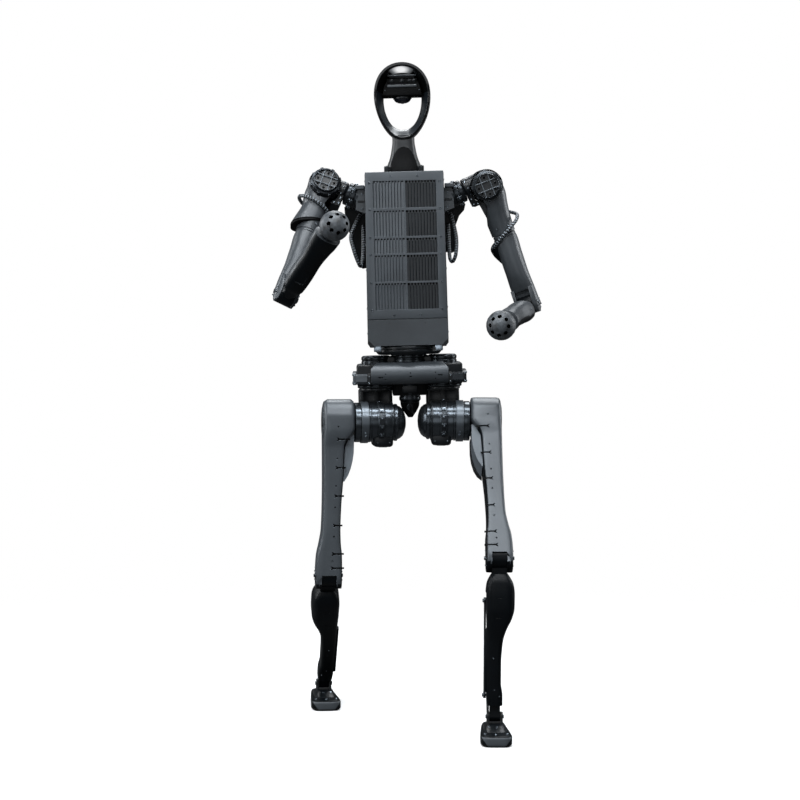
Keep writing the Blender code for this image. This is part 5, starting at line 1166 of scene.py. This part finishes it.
    tb = 'thigh_' + side
    EXP = 0.26
    whole = loft(leg_rings(THIGH_ROWS, s, EXP, 0.0065, 72))
    pocket = cyl(0.0455, *sorted((s * -0.0420, s * 0.0280)), 'X', 96, bevel=0)
    lo, hi = s * -0.0005, s * 0.0380
    shell = cut(whole, joined(box((-0.2, 0.010, -0.353), (0.2, 0.2, 0.2), 0)))
    shell = cut(shell, pocket)
    shell = cut(shell, box((lo, -0.1, -0.50), (hi, 0.1, -0.3985), 0))
    shell = cut(shell, cyl(0.0335, *sorted((lo, hi)), 'X', 80, (0, 0, -THIGH), bevel=0))
    shell = cut(shell, box((lo, 0.0, -0.50), (hi, 0.1, -0.3600), 0))
    tools = []
    # shallow arch in the front face above the knee
    arch_ = [(s * -0.0015, -0.46), (s * -0.0015, -0.4110)] + [(s * (0.0055 - 0.0070 * cos(pi / 2 * i / 8)), -0.4110 + 0.0070 * sin(pi / 2 * i / 8)) for i in range(1, 9)] \
        + [(s * (0.0375 + 0.0070 * sin(pi / 2 * i / 8)), -0.4110 + 0.0070 * cos(pi / 2 * i / 8)) for i in range(9)] + [(s * 0.0445, -0.46)]
    tools.append(plate(arch_, 0.020, 'Y', -0.038, 0))
    shell = cut(shell, joined(*tools))
    # near-black plates set into the floors of the notches and screw holes: painted shade for their depth
    tools, recess_shade = [], []
    for z, x in NOTCH:
        hf = at(THIGH_ROWS, z)[2]
        xi = at(THIGH_ROWS, z)[0] - 0.004
        y = [(s * xi, z - 0.0022), (s * (x - 0.0050), z - 0.0022), (s * (x + 0.0010), z - 0.0052), (s * (x + 0.0032), z - 0.0036), (s * (x - 0.0006), z + 0.0),
             (s * (x + 0.0032), z + 0.0036), (s * (x + 0.0010), z + 0.0052), (s * (x - 0.0050), z + 0.0022), (s * xi, z + 0.0022)]
        tools.append(plate(y, 0.05, 'Y', -hf + 0.0036 - 0.025, 0))
        recess_shade.append(plate(y, 0.0020, 'Y', -hf + 0.0030, 0))
    for z, x in HOLE:
        hf = at(THIGH_ROWS, z)[2]
        tools.append(lathe([(0, hf + 0.01), (0.0024, hf + 0.01), (0.0024, hf - 0.006), (0, hf - 0.006)], '-Y', 24, (s * x, 0, z), 0))
        recess_shade.append(lathe([(0, hf - 0.0020), (0.0023, hf - 0.0020), (0.0023, hf - 0.005), (0, hf - 0.005)], '-Y', 24, (s * x, 0, z), 0))
    # drain slots on the outer face
    for z in (-0.060, -0.110, -0.160, -0.210, -0.260):
        xo = at(THIGH_ROWS, z)[1]
        tools.append(box((s * (xo - 0.0025), -0.016, z - 0.0013), (s * (xo + 0.02), 0.002, z + 0.0013), 0))
    shell = cut(shell, joined(*tools))

    def inner_dark(c, n_, s=s):
        return (s * n_.x < -0.55 and c.z < -0.045) or c.z < -0.424 or (c.z < -0.397 and n_.y > -0.2)

    knee = [((s * -0.0153, 0.0, -0.400), (-s, 0, 0)), ((s * 0.0531, 0.0, -0.400), (s, 0, 0))]
    ringb = [((s * x, 0.0215 * cos(radians(a)), -0.400 + 0.0215 * sin(radians(a))), (d * s, 0, 0)) for x, d in ((0.0529, 1), (-0.0152, -1)) for a in range(30, 390, 60)]
    topb = [((s * 0.0333, 0.033 * cos(radians(a)), 0.033 * sin(radians(a))), (s, 0, 0)) for a in range(0, 360, 30)]
    piece('thigh_housing_' + side, tb, [(rounded(shell, 0.0010, 2, 48), 'casing_light'), (bolts(knee, 0.0048, 0.0042), 'bolt'), (bolts(ringb, 0.0020, 0.0014), 'bolt'),
          (bolts(topb, 0.0021, 0.0012), 'bolt'), (joined(*recess_shade), 'void'),
          (joined(cyl(0.0150, *sorted((s * 0.0325, s * 0.0345)), 'X', 56)), 'motor_dark'),
          (joined((tubeband(0.0395, 0.0425, *sorted((s * 0.0327, s * 0.0341)), 'X', 72, bevel=0.0003)), ), 'motor_dark')],
          ['thigh_shell_' + side], smooth=40, paint=('shank', inner_dark))
    cov = loft(leg_rings(THIGH_ROWS, s, EXP, 0.0065, 72))
    cov = cut(cov, joined(box((-0.2, -0.2, -0.50), (0.2, 0.0103, 0.2), 0)))
    cov = cut(cov, box((-0.2, 0.0, -0.50), (0.2, 0.2, -0.3527), 0))
    cov = cut(cov, pocket)
    tools = []
    for i in range(9):
        z = -0.100 - 0.020 * i
        hk = at(THIGH_ROWS, z)[3]
        tools.append(box((s * -0.006, hk - 0.0025, z - 0.0018), (s * 0.024, hk + 0.02, z + 0.0018), 0))
    cov = cut(cov, joined(*tools))
    piece('thigh_rear_panel_' + side, tb, [(rounded(cov, 0.0010, 2, 48), 'panel_dark'),
          (bolts([((s * x, at(THIGH_ROWS, z)[3] - 0.0008, z), (0, 1, 0)) for x, z in ((-0.010, -0.085), (0.026, -0.085), (-0.004, -0.300), (0.030, -0.300), (0.010, -0.330))], 0.0024, 0.0016), 'bolt')],
          ['thigh_back_cover_' + side], smooth=40, paint=('shank', lambda c, n_, s=s: s * n_.x < -0.55 and c.z < -0.05))
    piece('knee_motor_body_' + side, tb, [(lathe([(0, 0.0275), (0.040, 0.0275), (0.0445, 0.0240), (0.0445, -0.0380), (0.0400, -0.0415), (0, -0.0415)], ax, 80), 'motor')], ['knee_motor_' + side])
    big = loft(leg_rings(THIGH_ROWS, s, 0.36, 0.02, 40, 0.0012))
    curve = [(-0.0180, -0.0300), (-0.0440, -0.0300), (-0.0456, -0.0325), (-0.0456, -0.0600), (-0.0448, -0.0800), (-0.0420, -0.1000), (-0.0370, -0.1200), (-0.0300, -0.1380), (-0.0200, -0.1540), (-0.0120, -0.1540)]
    pdm = cut(plate([(s * u, v) for u, v in curve], 0.060, 'Y', -0.004, 0.0022), big)
    blk = [(-0.0180, -0.0400), (-0.0462, -0.0400), (-0.0478, -0.0440), (-0.0478, -0.0800), (-0.0450, -0.1050), (-0.0390, -0.1280), (-0.0300, -0.1450), (-0.0180, -0.1560)]
    blm = cut(plate([(s * u, v) for u, v in blk], 0.016, 'Y', 0.0350, 0.0030), big)
    piece('inner_pad_' + side, tb, [(pdm, 'pad'), (blm, 'shank')], ['thigh_pad_' + side])

    kb = 'shank_' + side
    sh = loft(leg_rings(SHANK_ROWS, s, 0.42, 0.006, 64))
    t0, t1 = sorted((s * 0.0, s * 0.0375))
    sh = cut(sh, cyl(0.0300, t0, t1, 'X', 80, bevel=0), 'UNION')
    sh = cut(sh, box((t0, -0.0200, -0.060), (t1, 0.0180, -0.005), 0), 'UNION')
    sh = cut(sh, box((s * -0.030, -0.0060, -0.420), (s * -0.0106, 0.080, -0.086), 0))
    sh = cut(sh, box((s * -0.030, -0.0160, -0.178), (s * -0.0033, 0.080, -0.0865), 0))
    sh = cut(sh, box((s * -0.030, -0.0150, -0.425), (s * -0.0036, 0.080, -0.3270), 0))
    f0, f1 = sorted((s * (ANKLE_X - 0.0130), s * (ANKLE_X + 0.0130)))
    sh = cut(sh, box((f0, -0.0120, -SHANK), (f1, 0.0120, -0.360), 0), 'UNION')
    sh = cut(sh, cyl(0.0125, f0, f1, 'X', 64, (0, 0, -SHANK), bevel=0), 'UNION')
    # flat facets that catch the light, parting grooves and a service slot
    facet = box((-0.03, -0.03, -0.05), (0.03, 0.03, 0.05), 0)
    sh = cut(sh, joined((facet, T(s * 0.0700, -0.0560, -0.080) @ R('Z', -s * 42) @ R('X', 10))))
    tools = [box((s * 0.012, -0.0415, -0.0975), (s * 0.026, -0.0375, -0.0960), 0), box((s * 0.010, -0.0405, -0.1485), (s * 0.024, -0.0345, -0.1470), 0)]
    for z in (-0.100, -0.115, -0.130):
        tools.append(box((s * 0.0560, 0.0, z - 0.0012), (s * 0.07, 0.030, z + 0.0012), 0))
    for z in (-0.215, -0.300):
        tools.append(box((s * 0.0220, -0.010, z - 0.0010), (s * 0.05, 0.014, z + 0.0010), 0))
    sh = cut(sh, joined(*tools))
    fair = box((s * -0.0176, -0.0215, -0.3360), (s * -0.0100, -0.0085, -0.1750), 0.0018, 2)
    piece('shank_housing_' + side, kb, [(rounded(sh, 0.0009, 2, 48), 'shank'), (fair, 'shank'),
          (box((s * 0.0110, -0.0212, -0.0420), (s * 0.0265, -0.0196, -0.0385), 0.0005, 2), 'strip'),
          (bolts([((s * x, -y, z), (0, -1, 0)) for x, y, z in ((0.005, 0.0262, -0.250), (0.008, 0.0235, -0.3300), (0.020, 0.0230, -0.3460))], 0.0018, 0.0012), 'bolt'),
          (bolts([((s * (ANKLE_X + d * 0.0130), 0, -SHANK), (d * s, 0, 0)) for d in (-1, 1)], 0.0030, 0.0006), 'bolt_bright')],
          ['shank_shell_' + side], smooth=38)
    L_ = math.hypot(*CRANK)
    ang = math.degrees(math.atan2(CRANK[0], CRANK[1]))
    x0, x1 = -0.0105, -0.0042
    arm_m = R('X', -ang)
    crk = plate(lever(0.0130, 0.0085, L_), x1 - x0, 'X', s * (x0 + x1) / 2, 0.0009)
    crk = cut(crk, joined(*[cyl(r_, *sorted((s * -0.02, s * 0.01)), 'X', 32, (0, 0, z_), bevel=0) for z_, r_ in ((0.020, 0.0042), (0.033, 0.0036))]))
    piece('ankle_crank_arm_' + side, 'crank_' + side, [(crk, 'steel', arm_m), (cyl(0.0075, *sorted((s * -0.0112, s * -0.0100)), 'X', 40), 'bolt')], ['ankle_crank_' + side])
    rl = -SHANK - CRANK_Z
    r0, r1 = sorted((s * -0.0178, s * -0.0112))
    rod = [(cyl(0.0085, r0, r1, 'X', 56, bevel=0.0008), 'motor_dark'), (cyl(0.0085, r0, r1, 'X', 56, (0, 0, rl), 0.0008), 'motor_dark'),
           (box((r0 + 0.0006, -0.0045, rl + 0.004), (r1 - 0.0006, 0.0045, -0.004), 0.0012, 2), 'black'),
           (bolts([((s * -0.0178, 0, z_), (-s, 0, 0)) for z_ in (0.0, rl)], 0.0046, 0.0030), 'bolt')]
    piece('ankle_push_rod_' + side, 'rod_' + side, rod, ['ankle_rod_' + side])

    fb = 'foot_' + side
    crow = [(-0.0285, 0.0290, -0.004, 0.0560), (-0.0240, 0.0275, -0.003, 0.0460), (-0.0170, 0.0215, -0.001, 0.0260)]
    cl = loft([ring(ANKLE_X, yc, z, hx, hy, 5, 64, s) for z, hx, yc, hy in dense(crow, 0.0012)])
    for x in (-1, 1):
        p0, p1 = sorted((s * (ANKLE_X + x * 0.0138), s * (ANKLE_X + x * 0.0203)))
        cheek = [(0.0125 * cos(pi * i / 28), 0.0125 * sin(pi * i / 28)) for i in range(29)] + [(-0.0155, -0.0210), (0.0155, -0.0210)]
        cl = cut(cl, plate(cheek, p1 - p0, 'X', (p0 + p1) / 2, 0), 'UNION')
    p0, p1 = sorted((s * -0.0101, s * -0.0044))
    cl = cut(cl, joined((plate(lever(0.0110, 0.0085, L_), p1 - p0, 'X', (p0 + p1) / 2, 0), arm_m)), 'UNION')
    slope = [((s * x, y, z), (0, -0.42, 1)) for x, y, z in ((-0.0060, -0.0345, -0.0205), (0.0140, -0.0345, -0.0205))]
    low_b = [((s * x, y, -0.0288), (0, 0, 1)) for x, y in ((-0.0180, -0.078), (0.0095, -0.084), (0.0370, -0.078), (-0.010, 0.055), (0.030, 0.055), (0.0095, 0.062))]
    piece('ankle_bracket_' + side, fb, [(rounded(cl, 0.0007, 2, 40), 'black'), (bolts(slope, 0.0026, 0.0024), 'bolt_bright'),
          (bolts([((s * (ANKLE_X + x * 0.0203), 0, 0), (x * s, 0, 0)) for x in (-1, 1)], 0.0052, 0.0030), 'bolt'),
          (bolts([((s * -0.0101, CRANK[0], CRANK[1]), (-s, 0, 0))], 0.0040, 0.0006), 'bolt_bright')], ['ankle_clevis_' + side], smooth=40)
    FT = [(-SOLE + 0.0066, 0.0412, 0.0948), (-SOLE + 0.0120, 0.0415, 0.0950), (-SOLE + 0.0215, 0.0413, 0.0946), (-SOLE + 0.0245, 0.0400, 0.0930), (-SOLE + 0.0265, 0.0375, 0.0905), (-0.0288, 0.0340, 0.0870)]

    def waisted(pts):
        """Foot outline, narrower towards the heel."""
        return [Vector((s * ANKLE_X + (p.x - s * ANKLE_X) * (1.0 - 0.26 * max(0.0, min(1.0, (p.y + 0.085) / 0.15))), p.y, p.z)) for p in pts]

    ft = loft([waisted(ring(ANKLE_X, -0.010, z, hx, hy, 5.5, 96, s)) for z, hx, hy in FT[:3] + dense(FT[2:], 0.0012)[1:]])
    soles = [(-SOLE, 0.0360, 0.0900), (-SOLE + 0.0012, 0.0380, 0.0918), (-SOLE + 0.0050, 0.0410, 0.0945), (-SOLE + 0.0062, 0.0412, 0.0948)]
    so = loft([waisted(ring(ANKLE_X, -0.010, z, hx, hy, 5.5, 96, s)) for z, hx, hy in soles])
    grooves = [box((-0.1, y - 0.0012, -SOLE - 0.01), (0.1, y + 0.0012, -SOLE + 0.0022), 0) for y in [-0.088 + 0.0112 * i for i in range(15)]]
    so = cut(so, joined(*grooves))
    # grey toe face over the front of the shell
    toe = []
    for i in range(15):
        k = i / 14
        z = -SOLE + 0.0030 + 0.0215 * k
        hx, hy = at([(r_[0], r_[1], r_[2]) for r_ in soles[1:] + FT[1:]], z)
        wide = min(0.0215 + 0.0170 * k, hx * 0.93)
        row = []
        for j in range(25):
            x = wide * (-1 + j / 12)
            y = -0.010 - hy * (1 - min(0.9999, abs(x) / hx) ** 5.5) ** (1 / 5.5)
            row.append(Vector((s * (ANKLE_X + x), y - 0.0007, z)))
        for j in range(24, -1, -1):
            x = wide * (-1 + j / 12)
            y = -0.010 - hy * (1 - min(0.9999, abs(x) / hx) ** 5.5) ** (1 / 5.5)
            row.append(Vector((s * (ANKLE_X + x), y + 0.0015, z)))
        toe.append(row)
    piece('foot_shell_' + side, fb, [(ft, 'shank'), (so, 'rubber'), (loft(toe), 'toe'), (bolts(low_b, 0.0028, 0.0024), 'bolt_bright')], ['foot_sole_' + side], smooth=40)

# ------------------------------------------------------------------ service loops
for side, s in SIDES:
    way = [(0.1180, 0.020, 0.372), (0.1270, 0.012, 0.340), (0.1330, -0.004, 0.300), (0.1300, -0.014, 0.262), (0.1220, -0.006, 0.244), (0.1150, 0.010, 0.252), (0.1130, 0.026, 0.290), (0.1125, 0.040, 0.345)] if s > 0 else \
          [(0.1180, 0.020, 0.376), (0.1330, 0.012, 0.348), (0.1450, 0.000, 0.316), (0.1390, -0.010, 0.284), (0.1290, -0.012, 0.252), (0.1205, -0.006, 0.237), (0.1150, 0.006, 0.258), (0.1130, 0.020, 0.300), (0.1125, 0.034, 0.345)]
    loop = smooth_path([(s * x, y, z) for x, y, z in way], 90)
    wrapped('shoulder_loop_' + side, 'torso', loop, 0.0048, ['shoulder_cable_' + side], 0.0066, 0.0006, 0.24)

# ------------------------------------------------- floor, light, sky and camera
bm = bmesh.new()
bmesh.ops.create_circle(bm, cap_ends=True, radius=9.0, segments=128)
floor = bpy.data.objects.new("studio_floor", to_mesh(bm))
floor.location = (0, 0, -0.0002)
bpy.context.scene.collection.objects.link(floor)
fm, nt, b = nodes_of('floor_pale')
N, L = nt.nodes.new, nt.links.new
tc = N('ShaderNodeTexCoord')
ns = N('ShaderNodeTexNoise')
ns.inputs['Scale'].default_value = 3.0
ns.inputs['Detail'].default_value = 6
L(tc.outputs['Object'], ns.inputs['Vector'])
cr = N('ShaderNodeValToRGB')
cr.color_ramp.elements[0].color = (0.66, 0.66, 0.66, 1)
cr.color_ramp.elements[1].color = (0.72, 0.72, 0.72, 1)
L(ns.outputs['Fac'], cr.inputs['Fac'])
L(cr.outputs['Color'], b.inputs['Base Color'])
b.inputs['Roughness'].default_value = 0.6
gr = N('ShaderNodeVectorMath')
gr.operation = 'LENGTH'
L(tc.outputs['Object'], gr.inputs[0])
fade = N('ShaderNodeMapRange')
fade.interpolation_type = 'SMOOTHERSTEP'
fade.inputs['From Min'].default_value = 0.5
fade.inputs['From Max'].default_value = 2.6
L(gr.outputs['Value'], fade.inputs['Value'])
tr = N('ShaderNodeBsdfTransparent')
mx = N('ShaderNodeMixShader')
L(fade.outputs['Result'], mx.inputs['Fac'])
b.inputs['Emission Color'].default_value = (1, 1, 1, 1)
b.inputs['Emission Strength'].default_value = 0.16
lpf = N('ShaderNodeLightPath')
dull = N('ShaderNodeBsdfDiffuse')
dull.inputs['Color'].default_value = (0.10, 0.10, 0.10, 1)
pick = N('ShaderNodeMixShader')
L(lpf.outputs['Is Camera Ray'], pick.inputs['Fac'])
L(dull.outputs['BSDF'], pick.inputs[1])
L(b.outputs['BSDF'], pick.inputs[2])
L(pick.outputs['Shader'], mx.inputs[1])
L(tr.outputs['BSDF'], mx.inputs[2])
L(mx.outputs['Shader'], nt.nodes['Material Output'].inputs['Surface'])
floor.data.materials.append(fm)
floor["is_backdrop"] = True

world = bpy.data.worlds.new("studio")
bpy.context.scene.world = world
world.use_nodes = True
nt = world.node_tree
bg = nt.nodes["Background"]
bg.inputs["Color"].default_value = (0.93, 0.96, 1.0, 1)
bg.inputs["Strength"].default_value = 0.06
back = nt.nodes.new('ShaderNodeBackground')
back.inputs["Color"].default_value = (1, 1, 1, 1)
back.inputs["Strength"].default_value = 1.0
lp = nt.nodes.new('ShaderNodeLightPath')
ms = nt.nodes.new('ShaderNodeMixShader')
nt.links.new(lp.outputs['Is Camera Ray'], ms.inputs['Fac'])
nt.links.new(bg.outputs['Background'], ms.inputs[1])
nt.links.new(back.outputs['Background'], ms.inputs[2])
nt.links.new(ms.outputs['Shader'], nt.nodes['World Output'].inputs['Surface'])


def lamp(name, loc, target, size, watts, colour=(1, 1, 1)):
    l = bpy.data.lights.new(name, 'AREA')
    l.shape = 'RECTANGLE'
    l.size, l.size_y = size
    l.energy = watts
    l.color = colour
    o = bpy.data.objects.new(name, l)
    o.location = loc
    o.rotation_euler = (Vector(target) - Vector(loc)).to_track_quat('-Z', 'Y').to_euler()
    bpy.context.scene.collection.objects.link(o)
    return o


SKY = (0.94, 0.97, 1.0)
lamp("top_front_strip", (-0.4, -2.1, 3.3), (0, 0, 0.9), (3.2, 0.26), 118, SKY)
lamp("top_soft", (0.0, -0.7, 3.8), (0, 0, 1.0), (2.6, 0.5), 125, SKY)
lamp("front_soft", (-0.6, -4.8, 1.3), (0, 0, 0.9), (3.2, 2.2), 42, SKY)
lamp("left_key", (-3.1, -1.9, 2.0), (0, 0, 0.9), (0.7, 2.4), 86, SKY)
lamp("left_rim", (-2.7, 0.9, 1.8), (0, 0, 1.0), (0.30, 2.6), 40, SKY)
lamp("right_rim", (2.7, 0.9, 1.8), (0, 0, 1.0), (0.30, 2.6), 34, SKY)
lamp("back_soft", (0.4, 2.8, 4.3), (0, 0, 1.0), (3.0, 1.4), 150, SKY)
lamp("right_side_soft", (3.4, 1.6, 2.2), (0, 0, 0.9), (1.6, 1.6), 34, SKY)
lamp("left_side_soft", (-3.4, 1.6, 2.2), (0, 0, 0.9), (1.6, 1.6), 34, SKY)
lamp("right_fill", (3.0, -2.4, 2.0), (0, 0, 0.8), (0.8, 2.0), 19, SKY)

bpy.context.scene.view_settings.view_transform = 'Standard'
cam = bpy.data.cameras.new("camera")
cam.lens = 1961.3 / 800 * 36.0
cam.sensor_width = 36.0
cam.clip_end = 60
co = bpy.data.objects.new("camera", cam)
bpy.context.scene.collection.objects.link(co)
cy, cp, cr_ = radians(0.002), radians(2.883), radians(-0.385)
fwd = Vector((sin(cy) * cos(cp), cos(cy) * cos(cp), -sin(cp)))
right = Vector((cos(cy), -sin(cy), 0))
down = fwd.cross(right)
r_ = right * cos(cr_) + down * sin(cr_)
dn = -right * sin(cr_) + down * cos(cr_)
loc = Vector((-0.0183, -5.1823, 1.0980 + (PELVIS_HEIGHT - 0.95655))) + ROOT
m = Matrix.Identity(4)
for i in range(3):
    m[i][0], m[i][1], m[i][2], m[i][3] = r_[i], -dn[i], -fwd[i], loc[i]
co.matrix_world = m
bpy.context.scene.camera = co

bpy.context.view_layer.update()
lo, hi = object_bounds()
